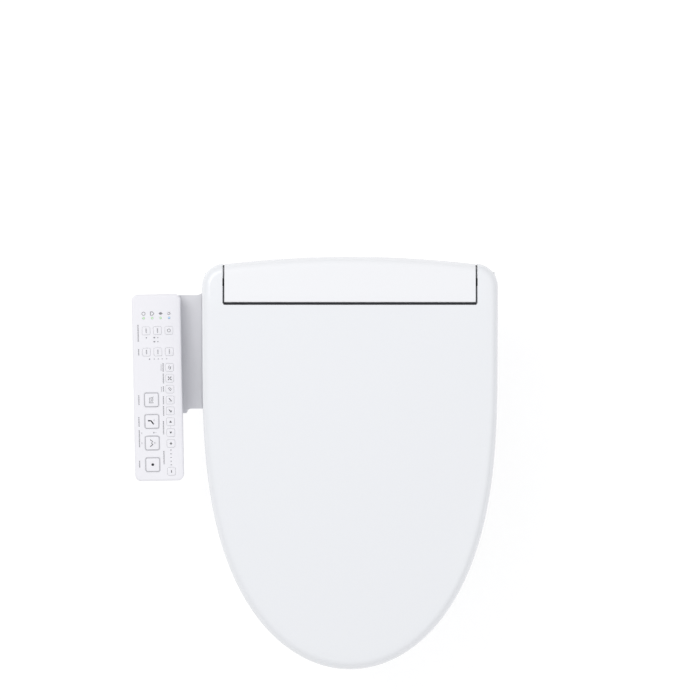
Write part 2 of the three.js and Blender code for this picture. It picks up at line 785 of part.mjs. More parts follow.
function nozzleRack() {
  const front = RACK.contactY - TOOTH_PITCH * 1.5;
  const count = Math.floor((WAND_LENGTH - front) / TOOTH_PITCH);
  const outline = [[front, -5], [front, RACK_ROOT]];
  for (let tooth = 0; tooth < count; tooth += 1) {
    const middle = front + TOOTH_PITCH * (tooth + 0.5);
    outline.push([middle - 1.1, RACK_ROOT], [middle - 0.45, RACK_TIP]);
    outline.push([middle + 0.45, RACK_TIP], [middle + 1.1, RACK_ROOT]);
  }
  outline.push([WAND_LENGTH, RACK_ROOT], [WAND_LENGTH, -5]);
  return extrudeAcross(polygon(outline), -RACK.halfWidth, RACK.halfWidth);
}

function nozzleGuide() {
  return cut(
    block(-10.5, 10.5, 17, 121, -13, 3),
    rodY(WAND_RADIUS + 0.5, 10, 130, 0, 0),
    block(-WAND_RADIUS - 0.5, WAND_RADIUS + 0.5, 10, 130, 0, 5),
    block(-RACK.halfWidth - 0.6, RACK.halfWidth + 0.6, 10, 130, -11, 0),
    block(-4.5, 14, RACK.contactY - 10, RACK.contactY + 10, -20, -5),
  );
}

function pinionShape() {
  const outline = [];
  for (let tooth = 0; tooth < RACK.teeth; tooth += 1) {
    // a gap between two teeth faces the middle of a rack tooth at rest
    const middle = ((tooth + 0.5) / RACK.teeth) * 2 * Math.PI + Math.PI / 2;
    const corners = [[-0.17, -1.3], [-0.055, 1.05], [0.055, 1.05], [0.17, -1.3]];
    for (const [turn, reach] of corners) {
      const radius = PINION_RADIUS + reach;
      outline.push([radius * Math.cos(middle + turn), radius * Math.sin(middle + turn)]);
    }
  }
  return polygon(outline);
}

const PINION_CENTRE = [RACK.contactY, RACK.pitchZ - PINION_RADIUS];

function nozzlePinion() {
  const wheel = extrudeAcross(pinionShape(), -2.5, 2.5).translate(0, ...PINION_CENTRE);
  return cut(wheel, rodX(1.5 + GAP, -5, 5, ...PINION_CENTRE, 16));
}

function nozzleMotor() {
  const [y, z] = PINION_CENTRE;
  return join(rodX(8, 4, 34, y, z, 20), rodX(1.5, -3.5, 5, y, z, 16));
}

// -------------------------------------------------------------------- dryer

function fanHousing() {
  const outer = join(
    rodX(FAN_HOUSING_RADIUS, DUCT_LEFT, DUCT_RIGHT, FAN_Y, FAN_Z, 28),
    block(DUCT_LEFT, DUCT_RIGHT, 5, 23, 72, FAN_Z),
  );
  return cut(
    outer,
    rodX(FAN_HOUSING_RADIUS - 2, DUCT_LEFT + 2, DUCT_RIGHT - 2, FAN_Y, FAN_Z, 28),
    block(DUCT_LEFT + 2, DUCT_RIGHT - 2, 7, 21, 71, FAN_Z),
    rodX(12, DUCT_LEFT - 1, DUCT_LEFT + 3, FAN_Y, FAN_Z),
    rodX(2.6, DUCT_RIGHT - 3, DUCT_RIGHT + 1, FAN_Y, FAN_Z, 16),
  );
}

function fanWheel() {
  const blades = [];
  const count = 10;
  for (let blade = 0; blade < count; blade += 1) {
    const vane = block(DUCT_LEFT + 5, DUCT_RIGHT - 6, -0.6, 0.6, 12, 18.6);
    vane.rotateX((blade * 2 * Math.PI) / count);
    blades.push(vane.translate(0, FAN_Y, FAN_Z));
  }
  const ring = cut(
    rodX(19, DUCT_LEFT + 4, DUCT_LEFT + 6, FAN_Y, FAN_Z),
    rodX(13.5, DUCT_LEFT + 3, DUCT_LEFT + 7, FAN_Y, FAN_Z),
  );
  const wheel = join(
    rodX(19, DUCT_RIGHT - 7, DUCT_RIGHT - 5, FAN_Y, FAN_Z),
    rodX(5, DUCT_LEFT + 12, DUCT_RIGHT - 4, FAN_Y, FAN_Z),
    ring,
    ...blades,
  );
  return cut(wheel, rodX(2 + GAP, DUCT_LEFT, DUCT_RIGHT, FAN_Y, FAN_Z, 16));
}

function fanMotor() {
  return join(
    rodX(12, DUCT_RIGHT + GAP, DUCT_RIGHT + 15, FAN_Y, FAN_Z),
    rodX(2, DUCT_LEFT + 14, DUCT_RIGHT + 5, FAN_Y, FAN_Z, 16),
  );
}

function dryerDuct() {
  const bend = (wall) => join(
    block(DUCT_LEFT + wall, DUCT_RIGHT - wall, 5 + wall, 23 - wall, 7.2 + wall, 71.7 + wall),
    block(DUCT_LEFT + wall, DUCT_RIGHT - wall, -68 - wall, 23 - wall, 7.2 + wall, 21.5 - wall),
  );
  return cut(bend(0), bend(DUCT_WALL));
}

function dryerHeater() {
  const fins = [];
  for (let fin = 0; fin < 6; fin += 1) {
    const y = -50 + fin * 7;
    fins.push(block(DUCT_LEFT + 3, DUCT_RIGHT - 3, y, y + 1, 9.6, 19.1));
  }
  return join(...fins, block(27, 29, -50, -14, 13, 15.5), block(41, 43, -50, -14, 13, 15.5));
}

function dryerFlap() {
  const [left, right] = [FLAP.left + 0.5, FLAP.right - 0.5];
  const plate = block(left, right, NOSE_FRONT + 0.4, NOSE_FRONT + 2.2, FLAP.bottom + 0.5, FLAP_AXIS_Z + 0.5);
  return join(plate, rodX(1.2, left, right, NOSE_FRONT + 1.3, FLAP_AXIS_Z, 12));
}

// ------------------------------------------------------------ arm and panel

const panelFrame = new THREE.Group();
panelFrame.position.copy(PANEL_CENTRE);
panelFrame.rotation.set(PANEL_TILT, 0, PANEL_TURN, 'ZYX');
group.add(panelFrame);

// The space over the arm that the panel takes.
function panelRoom() {
  const room = block(-60, 60, -150, 150, PANEL_BOTTOM - GAP, 40);
  panelFrame.updateMatrix();
  return room.applyMatrix4(panelFrame.matrix);
}

const ARM = {
  front: -145,
  step: 6, // the front end stands back by this much beside the panel
  stepX: -213.5,
  rear: 9,
  inner: -188.5,
  besideLid: -190.8, // the lid's edge hangs down inboard of this line
  underLid: 27,
  bottom: 2,
  split: 14,
  underPanel: -221, // the arm reaches up to the panel beyond this line
  outer: -272,
  leanTop: 40, // the outer face leans inwards below this height
  lean: 0.467,
  footX: -201,
  footRear: 22,
  footTop: 26,
};

// Height of the arm's top between the seat and the panel, which falls towards the front.
const armShelf = (y) => (y === ARM.front ? 37 : 48);

// Front view of the arm's upper half, moved inwards by `wall`. It steps in under the lid's edge.
function armUpperSection(y, wall) {
  const shelf = armShelf(y) - wall;
  const inner = ARM.inner - wall;
  const besideLid = ARM.besideLid - wall;
  const underPanel = ARM.underPanel - wall;
  const outer = ARM.outer + wall;
  const top = wall > 0 ? 45 : 60;
  const bottom = wall > 0 ? 0 : ARM.split + GAP;
  const outline = [
    [inner, bottom], [inner, ARM.underLid - wall], [besideLid, ARM.underLid + 1 - wall],
    [besideLid, shelf - 3], [besideLid - 2.7, shelf - 0.5], [besideLid - 14, shelf],
    [underPanel, shelf], [underPanel, top], [outer + 4, top], [outer, ARM.leanTop],
    [outer + ARM.lean * (ARM.leanTop - bottom), bottom],
  ];
  return outline.map(([x, z]) => new THREE.Vector3(x, y, z));
}

// Solid of the arm's upper half between two stations along y, moved inwards by `wall`.
function armUpperBody(wall) {
  const frontWall = wall > 0 ? wall + ARM.step : 0;
  const rings = [ARM.front, ARM.rear].map((y) => {
    const station = y === ARM.front ? y + frontWall : y - wall;
    return armUpperSection(y, wall).map((point) => point.setY(station));
  });
  return loft(rings);
}

// What is cut off the arm's front end beside the panel, with a hollow curve at its outer corner.
function armFrontStep() {
  const { front, step, stepX } = ARM;
  const shape = new THREE.Shape();
  shape.moveTo(stepX, front - 1);
  shape.lineTo(stepX, front);
  shape.absarc(stepX + step, front, step, Math.PI, Math.PI / 2, true);
  shape.lineTo(ARM.inner + 10, front + step);
  shape.lineTo(ARM.inner + 10, front - 1);
  return extrudeUp(shape, -10, 100, 6);
}

// Foot of the arm, which spreads along the side of the rear unit.
function armFoot(bottom, top) {
  const shape = new THREE.Shape();
  const unitSide = -FLANK_HALF - GAP;
  shape.moveTo(unitSide, -1);
  shape.lineTo(unitSide, ARM.footRear);
  shape.quadraticCurveTo(unitSide - 5, ARM.rear + 1, ARM.footX, ARM.rear);
  shape.lineTo(ARM.footX, -1);
  return extrudeUp(shape, bottom, top, 6);
}

function armUpper() {
  const shell = cut(armUpperBody(0), armUpperBody(CASE_WALL));
  return cut(join(shell, armFoot(ARM.split + GAP, ARM.footTop)), panelRoom(), armFrontStep());
}

function armLower() {
  const { inner, bottom, split, outer } = ARM;
  const room = polygon([
    [inner - CASE_WALL, bottom + CASE_WALL], [outer + 27, bottom + CASE_WALL], [outer + 18, split],
    [outer + 18, split + 10], [inner - CASE_WALL, split + 10],
  ]);
  const tray = cut(
    extrudeBack(
      polygon([[inner, bottom], [outer + 26, bottom], [outer + 13, split], [inner, split]]),
      ARM.front, ARM.rear,
    ),
    extrudeBack(room, ARM.front + ARM.step + CASE_WALL, ARM.rear - CASE_WALL),
  );
  return cut(join(tray, armFoot(bottom, split)), armFrontStep());
}

// Where each button sits on the panel face, and what it does.
const LARGE_BUTTON = { width: 19.4, height: 19.2, radius: 3, x: -8.4, firstY: -15.6, step: -28.05 };
const SMALL_BUTTON = { width: 10.4, height: 10.4, radius: 2.2 };
const COLUMN_X = 15.8;
const COLUMN_FIRST_Y = 26;
const COLUMN_STEP = -14.1;

function buttonLayout() {
  const buttons = [];
  ['dry', 'front_wash', 'rear_wash', 'stop'].forEach((name, row) => {
    const y = LARGE_BUTTON.firstY + row * LARGE_BUTTON.step;
    buttons.push({ name, x: LARGE_BUTTON.x, y, size: LARGE_BUTTON });
  });
  const rows = [
    [74, ['energy_saver', 'energy_timer', 'power']],
    [46.4, ['water_temperature', 'seat_temperature', 'air_temperature']],
  ];
  for (const [y, names] of rows) {
    names.forEach((name, column) => {
      buttons.push({ name, x: -13.6 + 14.8 * column, y, size: SMALL_BUTTON });
    });
  }
  const column = [
    'night_light', 'auto_lid', 'nozzle_clean', 'pulse', 'oscillate', 'nozzle_forward', 'nozzle_back',
    'pressure_up',
  ];
  column.forEach((name, row) => {
    buttons.push({ name, x: COLUMN_X, y: COLUMN_FIRST_Y + row * COLUMN_STEP, size: SMALL_BUTTON });
  });
  buttons.push({ name: 'pressure_down', x: COLUMN_X, y: -109, size: SMALL_BUTTON });
  return buttons;
}

const LAMP = { firstX: -16.5, step: 11.05, y: 90.4, radius: 1.3, count: 4 };

function lampRods(radius, from, to) {
  const rods = [];
  for (let lamp = 0; lamp < LAMP.count; lamp += 1) {
    rods.push(rodZ(radius, from, to, LAMP.firstX + lamp * LAMP.step, LAMP.y, 8));
  }
  return rods;
}

function panelFace() {
  const outline = roundedRectangle(PANEL_WIDTH, PANEL_LENGTH, PANEL_CORNER, 0, 0, 4);
  for (const { x, y, size } of buttonLayout()) {
    const slot = roundedRectangle(
      size.width + 2 * GAP, size.height + 2 * GAP, size.radius + GAP, x, y,
    );
    outline.holes.push(slot);
  }
  const plate = extrudeUp(outline, -FACE_THICKNESS, 0);
  return cut(plate, ...lampRods(LAMP.radius + GAP, -FACE_THICKNESS - 1, 1));
}

function statusLens() {
  const bar = block(LAMP.firstX - 3, LAMP.firstX + 3 * LAMP.step + 3, LAMP.y - 2, LAMP.y + 2, -4.5, -2.3);
  return join(bar, ...lampRods(LAMP.radius, -4, -0.1));
}

function panelCase() {
  const top = -FACE_THICKNESS - GAP;
  const wall = 2.5;
  const outline = roundedRectangle(PANEL_WIDTH, PANEL_LENGTH, PANEL_CORNER, 0, 0, 4);
  const hollow = roundedRectangle(
    PANEL_WIDTH - 2 * wall, PANEL_LENGTH - 2 * wall, PANEL_CORNER - wall, 0, 0, 4,
  );
  return cut(extrudeUp(outline, PANEL_BOTTOM, top), extrudeUp(hollow, PANEL_BOTTOM + wall, top + 1));
}

function panelBoard() {
  const board = block(-26, 26, -116, 104, BOARD_TOP - 1.6, BOARD_TOP);
  const switches = buttonLayout().map(
    ({ x, y }) => block(x - 2.5, x + 2.5, y - 2.5, y + 2.5, BOARD_TOP - 1, BOARD_TOP + 1.6),
  );
  return join(board, ...switches);
}

function panelButton(size) {
  const shape = roundedRectangle(size.width, size.height, size.radius);
  return extrudeUp(shape, BUTTON_BOTTOM, BUTTON_PROUD);
}

// ----------------------------------------------------------------- assembly

function addLid() {
  add('lid_shell', lidShell(), glossyWhite());
  addPair('lid_bumper', lidBumper, rubber);
}

function addSeat() {
  add('seat_top_shell', seatTopShell(), glossyWhite());
  add('seat_bottom_shell', seatBottomShell(), glossyWhite());
  add('seat_heater', seatHeater(), foil());
  for (const [side, sign] of [['left', -1], ['right', 1]]) {
    add(`seat_bumper_front_${side}`, seatBumper(sign * 96, -400), rubber());
    add(`seat_bumper_rear_${side}`, seatBumper(sign * 146, -165), rubber());
  }
}

function addUnit() {
  add('base_plate', basePlate(), darkPlastic());
  addPair('mounting_bolt', mountingBolt, steel);
  add('lower_case', lowerCase(), unitWhite());
  add('top_cover', topCover(), unitWhite());
  add('lid_damper', damper(-1), darkPlastic());
  add('seat_damper', damper(1), darkPlastic());
  add('release_button', releaseButton(), caseGrey());
}

function addWaterPath() {
  add('water_inlet', waterInlet(), brass());
  add('solenoid_valve', solenoidValve(), darkPlastic());
  add('water_heater_tank', waterHeaterTank(), caseGrey());
  add('drain_plug', drainPlug(), caseGrey());
  add('nozzle_guide', nozzleGuide(), caseGrey(), nozzleFrame);
  add('nozzle_motor', nozzleMotor(), darkPlastic(), nozzleFrame);
  add('nozzle_pinion', nozzlePinion(), caseGrey(), nozzleFrame);
  add('nozzle_wand', nozzleWand(), glossyWhite(), nozzleFrame);
}

function addDryer() {
  add('fan_housing', fanHousing(), darkPlastic());
  add('fan_wheel', fanWheel(), caseGrey());
  add('fan_motor', fanMotor(), steel());
  add('dryer_duct', dryerDuct(), darkPlastic());
  add('dryer_heater', dryerHeater(), steel());
  add('dryer_flap', dryerFlap(), unitWhite());
}

function addElectronics() {
  add('main_board', mainBoard(), boardGreen());
  add('power_supply', powerSupply(), darkPlastic());
  add('cord_gland', cordGland(), rubber());
}

function addPanel() {
  add('arm_lower', armLower(), panelWhite());
  add('arm_upper', armUpper(), panelWhite());
  add('panel_case', panelCase(), panelWhite(), panelFrame);
  add('panel_board', panelBoard(), boardGreen(), panelFrame);
  add('status_lens', statusLens(), clearLens(), panelFrame);
  add('panel_face', panelFace(), panelWhite(), panelFrame);
  for (const { name, x, y, size } of buttonLayout()) {
    add(`button_${name}`, panelButton(size), panelWhite(), panelFrame).position.set(x, y, 0);
  }
}

addLid();
addSeat();
addUnit();
addWaterPath();
addDryer();
addElectronics();
addPanel();

export default group;
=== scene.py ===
"""Looks of an electric bidet seat with a fixed side control panel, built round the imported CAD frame.

Blender works in metres, with +Z up and +Y to the rear of the toilet. The control panel is on the -X
side and the lid is closed. Shapes are dimensioned in millimetres, as the CAD part is, and turned into
metres where a mesh is made.
"""
import itertools
import math

import bmesh
import bpy
from mathutils import Matrix, Vector
from mathutils.geometry import delaunay_2d_cdt


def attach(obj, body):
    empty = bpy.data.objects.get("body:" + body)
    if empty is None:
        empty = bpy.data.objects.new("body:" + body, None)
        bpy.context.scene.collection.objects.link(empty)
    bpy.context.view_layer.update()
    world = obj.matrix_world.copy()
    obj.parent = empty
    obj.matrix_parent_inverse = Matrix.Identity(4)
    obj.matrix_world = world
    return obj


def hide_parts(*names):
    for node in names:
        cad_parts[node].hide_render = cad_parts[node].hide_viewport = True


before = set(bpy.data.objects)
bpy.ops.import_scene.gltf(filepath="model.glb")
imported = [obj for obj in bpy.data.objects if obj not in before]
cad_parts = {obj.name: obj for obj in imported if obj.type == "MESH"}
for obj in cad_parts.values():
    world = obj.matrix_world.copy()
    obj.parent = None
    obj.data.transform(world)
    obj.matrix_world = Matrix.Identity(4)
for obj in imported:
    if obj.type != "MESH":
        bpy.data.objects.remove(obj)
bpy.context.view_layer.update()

MM = 0.001
GAP = 0.3  # clearance between two pieces that meet
SAME_POINT = 0.01  # corners nearer than this are joined

# Plan outline of the closed lid
HALF_WIDTH = 190
FRONT_Y = -478
REAR_Y = 58
CURVE_START_Y = -83
FRONT_POWER = 2.73
REAR_RADIUS = 1374
REAR_CORNER = 30

# Lid
LID_REAR_TOP = 144
LID_FRONT_TOP = 62
LID_BOTTOM = 30
LID_CROWN = 12
LID_WALL = 3.5
LID_EDGE_RADIUS = 12
NOTCH_HALF = 163.5
NOTCH_RADIUS = 51.9
NOTCH_CORNER = 3
WING_SKIRT_X = 177  # inboard of this the wing's rear skirt stops high
WING_SKIRT_Z = 111
REST_X = 118  # the two posts that hold the bumpers between lid and seat
REST_Y = -345
REST_TOP = 60
REST_RADIUS = 8

# Hinge line
HINGE_Y = 25
HINGE_Z = 101
LID_BOSS_RADIUS = 12
LID_BOSS_INNER = 177

# Rear unit
UNIT_TOP = 145
SPLIT_Z = 70
BODY_REAR = 57
COVER_HALF = 161
COVER_FRONT = -1.2
COVER_WALL = 2.5
COVER_FRONT_RADIUS = 1.4
COVER_REAR_RADIUS = 12
# Dark strip in the gap round the top cover: painted shade that stands for the deep shadow in that gap
GAP_SHADE_LOW = 134
GAP_SHADE_HIGH = 137
GAP_SHADE_CORNER = 1.2
NOZZLE_TIP_Y = -70
NOZZLE_TIP_Z = 15.5
NOZZLE_SLOPE = math.radians(15)
NOSE_HALF = 56
NOSE_FRONT = -82

# Bolts through the base plate
BOLT_X = 70
BOLT_RADIUS = 4
BOLT_HEAD_RADIUS = 10
BOLT_HEAD_TOP = 9
PLATE_THICKNESS = 3

# Seat
SEAT_INSET = 5
SEAT_REAR = -20
SEAT_CORNER = 10
SEAT_BOTTOM = 13
SEAT_SPLIT = 17
SEAT_RIM = 23  # height where the seat's side turns into its top, at the front
SEAT_CREST = 42
SEAT_REAR_RISE = 18  # how much higher the seat is at the rear than at the front
SEAT_WALL = 3
SEAT_ARM_INNER = 165.5
SEAT_ARM_OUTER = 174.9
SEAT_ARM_RADIUS = 14
HOLE_CENTRE_Y = -240
HOLE_HALF_WIDTH = 108
HOLE_HALF_LENGTH = 148
HOLE_POWER = 2.25

# Control panel: its own frame has the face at z = 0, and y runs along the panel
PANEL_WIDTH = 63
PANEL_LENGTH = 242
PANEL_CORNER = 8
PANEL_CENTRE = Vector((-249.5, -111.4, 69))
PANEL_TURN = math.radians(1.1)
PANEL_TILT = math.radians(1.4)
PANEL_BOTTOM = -20
FACE_THICKNESS = 2
PANEL_FRAME = (
    Matrix.Translation(PANEL_CENTRE)
    @ Matrix.Rotation(PANEL_TURN, 4, "Z")
    @ Matrix.Rotation(PANEL_TILT, 4, "X")
)

# Keys, sized by width, height and corner radius, and lamps
LARGE_BUTTON = (19.4, 19.2, 3)
SMALL_BUTTON = (10.4, 10.4, 2.2)
BUTTON_PROUD = 0.5
BUTTON_BOTTOM = -4.4
BUTTON_EASE = 0.4
KEY_PLAY = 0.18  # all round a key, in its slot
LARGE_X = -8.4
LARGE_FIRST_Y = -15.6
LARGE_STEP = -28.05
ROW_FIRST_X = -13.6
ROW_STEP = 14.8
TIMER_ROW_Y = 74
TEMPERATURE_ROW_Y = 46.4
COLUMN_X = 15.8
COLUMN_FIRST_Y = 26
COLUMN_STEP = -14.1
PRESSURE_DOWN_Y = -109
STATUS_X = [-16.5 + 11.05 * number for number in range(4)]
STATUS_Y = 90.4
SYMBOL_Y = 96.3
LAMP_RADIUS = 1.3
LAMP_SLOT_RADIUS = 1.6

# Room, light and camera; the camera's two places are in metres
CAMERA_HEIGHT = 5.96
CAMERA_Y = -0.0625
CAMERA_LENS = 233.5
SKY_HORIZON = 0.36
SKY_ZENITH = 1.06
TABLE_GLOW = 0.66
FLOOR_Z = -150  # well under the seat, so that the nozzle can come out below the deck
FLOOR_HALF = 12000


# ---- materials

class Look:
    """A material whose colour, gloss and relief follow noise."""

    def __init__(self, name):
        self.material = bpy.data.materials.new(name)
        self.material.use_nodes = True
        self.nodes = self.material.node_tree.nodes
        self.shader = self.nodes["Principled BSDF"].inputs

    def link(self, output, socket):
        self.material.node_tree.links.new(output, socket)

    def noise(self, scale, detail, stretch=(1, 1, 1)):
        """Noise in the object's own coordinates, so that it stays put when the piece moves."""
        coordinates = self.nodes.new("ShaderNodeTexCoord")
        mapping = self.nodes.new("ShaderNodeMapping")
        mapping.inputs["Scale"].default_value = stretch
        noise = self.nodes.new("ShaderNodeTexNoise")
        noise.inputs["Scale"].default_value = scale
        noise.inputs["Detail"].default_value = detail
        self.link(coordinates.outputs["Object"], mapping.inputs["Vector"])
        self.link(mapping.outputs["Vector"], noise.inputs["Vector"])
        return noise.outputs["Fac"]

    def color(self, factor, low, high):
        """Lets the colour wander between two shades."""
        ramp = self.nodes.new("ShaderNodeValToRGB")
        for stop, position, color in zip(ramp.color_ramp.elements, (0.3, 0.7), (low, high)):
            stop.position = position
            stop.color = (*color, 1)
        self.link(factor, ramp.inputs["Fac"])
        self.link(ramp.outputs["Color"], self.shader["Base Color"])

    def roughness(self, factor, middle, spread):
        """Lets the roughness wander by `spread` to either side."""
        reach = self.nodes.new("ShaderNodeMapRange")
        sockets = ("From Min", "From Max", "To Min", "To Max")
        for socket, value in zip(sockets, (0.3, 0.7, middle - spread, middle + spread)):
            reach.inputs[socket].default_value = value
        self.link(factor, reach.inputs["Value"])
        self.link(reach.outputs["Result"], self.shader["Roughness"])

    def bump(self, factor, height):
        """Relief of `height` millimetres."""
        bump = self.nodes.new("ShaderNodeBump")
        bump.inputs["Strength"].default_value = 1
        bump.inputs["Distance"].default_value = height * MM
        self.link(factor, bump.inputs["Height"])
        self.link(bump.outputs["Normal"], self.shader["Normal"])

    def glow(self, color, strength):
        self.shader["Emission Color"].default_value = (*color, 1)
        self.shader["Emission Strength"].default_value = strength


def shade(color, amount):
    """The same colour, darker or lighter."""
    return tuple(channel * amount for channel in color)


def plastic(name, color, roughness, grain, grain_height, coat=0.0):
    """Moulded plastic: a fine fleck in its tone, an uneven gloss and a grain of `grain` millimetres."""
    look = Look(name)
    look.color(look.noise(800, 2), shade(color, 0.991), shade(color, 1.006))
    look.roughness(look.noise(14, 3), roughness, roughness * 0.08)
    look.bump(look.noise(1 / (grain * MM), 3), grain_height)
    look.shader["Coat Weight"].default_value = coat
    look.shader["Coat Roughness"].default_value = 0.06
    return look.material


def rubber(name, color):
    """Dull rubber with an uneven tone."""
    look = Look(name)
    look.color(look.noise(220, 5), shade(color, 0.82), shade(color, 1.08))
    look.roughness(look.noise(400, 4), 0.82, 0.1)
    look.bump(look.noise(1400, 4), 0.03)
    return look.material


def metal(name, color, roughness, stretch=(1, 1, 1)):
    """Metal with a drawn or brushed grain along the axis that is least stretched."""
    look = Look(name)
    grain = look.noise(260, 5, stretch)
    look.color(grain, shade(color, 0.88), color)
    look.roughness(grain, roughness, 0.08)
    look.bump(grain, 0.008)
    look.shader["Metallic"].default_value = 1
    return look.material


def circuit_board(name):
    """Green solder resist over a weave that shows faintly through it."""
    look = Look(name)
    weave = look.noise(900, 2, (1, 0.2, 1))
    look.color(weave, (0.012, 0.085, 0.035), (0.03, 0.16, 0.07))
    look.roughness(look.noise(300, 3), 0.38, 0.08)
    look.bump(look.noise(1500, 2, (1, 0.3, 1)), 0.02)
    return look.material


def lamp(name, color, strength):
    """A small coloured lens, lit from inside."""
    look = Look(name)
    look.color(look.noise(700, 2), shade(color, 0.9), color)
    look.roughness(look.noise(500, 2), 0.2, 0.05)
    look.glow(color, strength)
    return look.material


WHITE = (0.83, 0.845, 0.87)
UNIT_WHITE = (0.86, 0.868, 0.888)
PANEL_WHITE = (0.83, 0.825, 0.86)

lid_white = plastic("lid_gloss_white", WHITE, 0.24, 5, 0.004, coat=0.25)
seat_white = plastic("seat_gloss_white", WHITE, 0.24, 5, 0.004, coat=0.2)
unit_white = plastic("unit_gloss_white", UNIT_WHITE, 0.25, 5, 0.004, coat=0.2)
panel_white = plastic("panel_satin_white", PANEL_WHITE, 0.42, 0.9, 0.006)
button_white = plastic("button_satin_white", PANEL_WHITE, 0.38, 0.8, 0.005)
# The arm is the same white plastic as the rest; its colour is darkened to paint the shade that falls on
# it between the panel and the lid.
arm_white_painted_shade = plastic("arm_satin_white_painted_shade", (0.7, 0.7, 0.728), 0.4, 0.9, 0.008)
nozzle_white = plastic("nozzle_white", (0.82, 0.83, 0.84), 0.2, 3, 0.003, coat=0.3)
grey_plastic = plastic("grey_plastic", (0.62, 0.63, 0.65), 0.45, 0.8, 0.012)
# Really dark plastic on the inner parts, and also the colour of the strip in the gap round the top
# cover, where it is painted shade.
dark_plastic = plastic("dark_plastic", (0.05, 0.053, 0.06), 0.5, 0.7, 0.02)
ink_dark = plastic("ink_black", (0.02, 0.02, 0.024), 0.5, 0.5, 0.004)
ink_grey = plastic("ink_grey", (0.26, 0.26, 0.28), 0.5, 0.5, 0.004)
ink_pale = plastic("ink_pale", (0.42, 0.42, 0.45), 0.5, 0.5, 0.004)
grey_rubber = rubber("grey_rubber", (0.42, 0.43, 0.44))
steel = metal("drawn_steel", (0.6, 0.61, 0.63), 0.28, (1, 1, 0.1))
brass = metal("turned_brass", (0.68, 0.48, 0.2), 0.3, (1, 0.1, 1))
foil = metal("heater_foil", (0.72, 0.73, 0.75), 0.36)
green_board = circuit_board("circuit_board")
clear_lens = lamp("light_pipe", (0.75, 0.8, 0.78), 0.0)
green_lamp = lamp("green_lamp", (0.52, 0.76, 0.48), 0.3)
blue_lamp = lamp("blue_lamp", (0.38, 0.58, 0.8), 0.3)


# ---- mesh helpers

def new_object(name, data):
    """An object that is linked into the scene."""
    thing = bpy.data.objects.new(name, data)
    bpy.context.scene.collection.objects.link(thing)
    return thing


def round_edges(piece, width, segments=3, angle=40):
    """Rounds the edges that are sharper than `angle` degrees, `width` millimetres wide."""
    bevel = piece.modifiers.new("rounded_edges", "BEVEL")
    bevel.width = width * MM
    bevel.segments = segments
    bevel.limit_method = "ANGLE"
    bevel.angle_limit = math.radians(angle)
    bevel.harden_normals = True


def weld(piece):
    """Joins the corners that lie in the same place."""
    modifier = piece.modifiers.new("weld", "WELD")
    modifier.merge_threshold = SAME_POINT * MM


def soften_node(node, material, width):
    """Keeps a CAD node, with its flat faces merged, its edges rounded and a procedural material."""
    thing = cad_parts[node]
    for slot in thing.material_slots:
        slot.material = material
    thing.data.polygons.foreach_set("use_smooth", [True] * len(thing.data.polygons))
    weld(thing)
    merge = thing.modifiers.new("merge_flat_faces", "DECIMATE")
    merge.decimate_type = "DISSOLVE"
    merge.angle_limit = math.radians(1)
    round_edges(thing, width, 2)


class Mesh:
    """Points in millimetres and faces that are gathered before they become one piece."""

    def __init__(self):
        self.points = []
        self.faces = []
        self.material_index = []

    def add(self, points, faces, material=0):
        """Adds points, and faces that count from the first of them."""
        start = len(self.points)
        self.points.extend(Vector(point) for point in points)
        self.faces.extend([start + corner for corner in face] for face in faces)
        self.material_index.extend([material] * len(faces))

    def moved(self, matrix):
        """Moves what has been gathered so far."""
        self.points = [matrix @ point for point in self.points]

    def piece(self, name, materials, body, slot, replaced=()):
        """A new visible piece that rides on a body and stands for the replaced CAD nodes."""
        mesh = bpy.data.meshes.new(name)
        mesh.from_pydata([point * MM for point in self.points], [], self.faces)
        for material in materials:
            mesh.materials.append(material)
        mesh.polygons.foreach_set("material_index", self.material_index)
        mesh.polygons.foreach_set("use_smooth", [True] * len(mesh.polygons))
        mesh.update()
        piece = new_object(name, mesh)
        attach(piece, body)
        if replaced:
            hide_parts(*replaced)
        return piece


def ring_faces(count, rows, looped):
    """Quads between rows of `count` points; each row is a ring, and the rows too if looped."""
    faces = []
    for row in range(rows if looped else rows - 1):
        low = row * count
        high = (row + 1) % rows * count
        for i in range(count):
            j = (i + 1) % count
            faces.append((low + i, low + j, high + j, high + i))
    return faces


def loft(rings, caps=True, looped=False):
    """Skins a row of rings that run counter-clockwise when seen from the last one."""
    count = len(rings[0])
    points = [point for ring in rings for point in ring]
    faces = ring_faces(count, len(rings), looped)
    if caps:
        faces.append(tuple(reversed(range(count))))
        faces.append(tuple(range(len(points) - count, len(points))))
    return points, faces


def thicken(points, faces, wall, fix_inner=None):
    """Closed shell under a sheet: the sheet, a copy `wall` behind it, and the rim between them."""
    normals = [Vector() for _ in points]
    for face in faces:
        corners = [points[i] for i in face]
        area = Vector()
        for before, after in zip(corners, corners[1:] + corners[:1]):
            area += before.cross(after)
        for i in face:
            normals[i] += area
    inner = [point - normal.normalized() * wall for point, normal in zip(points, normals)]
    if fix_inner:
        inner = [fix_inner(point, behind) for point, behind in zip(points, inner)]
    count = len(points)
    shell = list(faces) + [tuple(count + i for i in reversed(face)) for face in faces]
    used = {edge for face in faces for edge in zip(face, face[1:] + face[:1])}
    for start, end in used:
        if (end, start) not in used:
            shell.append((end, start, count + start, count + end))
    return list(points) + inner, shell


def inside(point, loop):
    """True if a 2-D point lies in a closed loop."""
    x, y = point
    found = False
    for (x0, y0), (x1, y1) in zip(loop, loop[1:] + loop[:1]):
        if (y0 > y) != (y1 > y) and x < x0 + (y - y0) * (x1 - x0) / (y1 - y0):
            found = not found
    return found


def triangulate(points, edges, region, holes=()):
    """Triangles between 2-D points that keep the edges given and stay in the region."""
    flat = [Vector((x, y)) for x, y in points]
    spots, _, faces, origin, _, _ = delaunay_2d_cdt(flat, edges, [], 0, 1e-5)
    kept = []
    for face in faces:
        middle = sum((spots[i] for i in face), Vector((0, 0))) / len(face)
        if inside(middle, region) and not any(inside(middle, hole) for hole in holes):
            kept.append(tuple(origin[i][0] for i in face))
    return kept


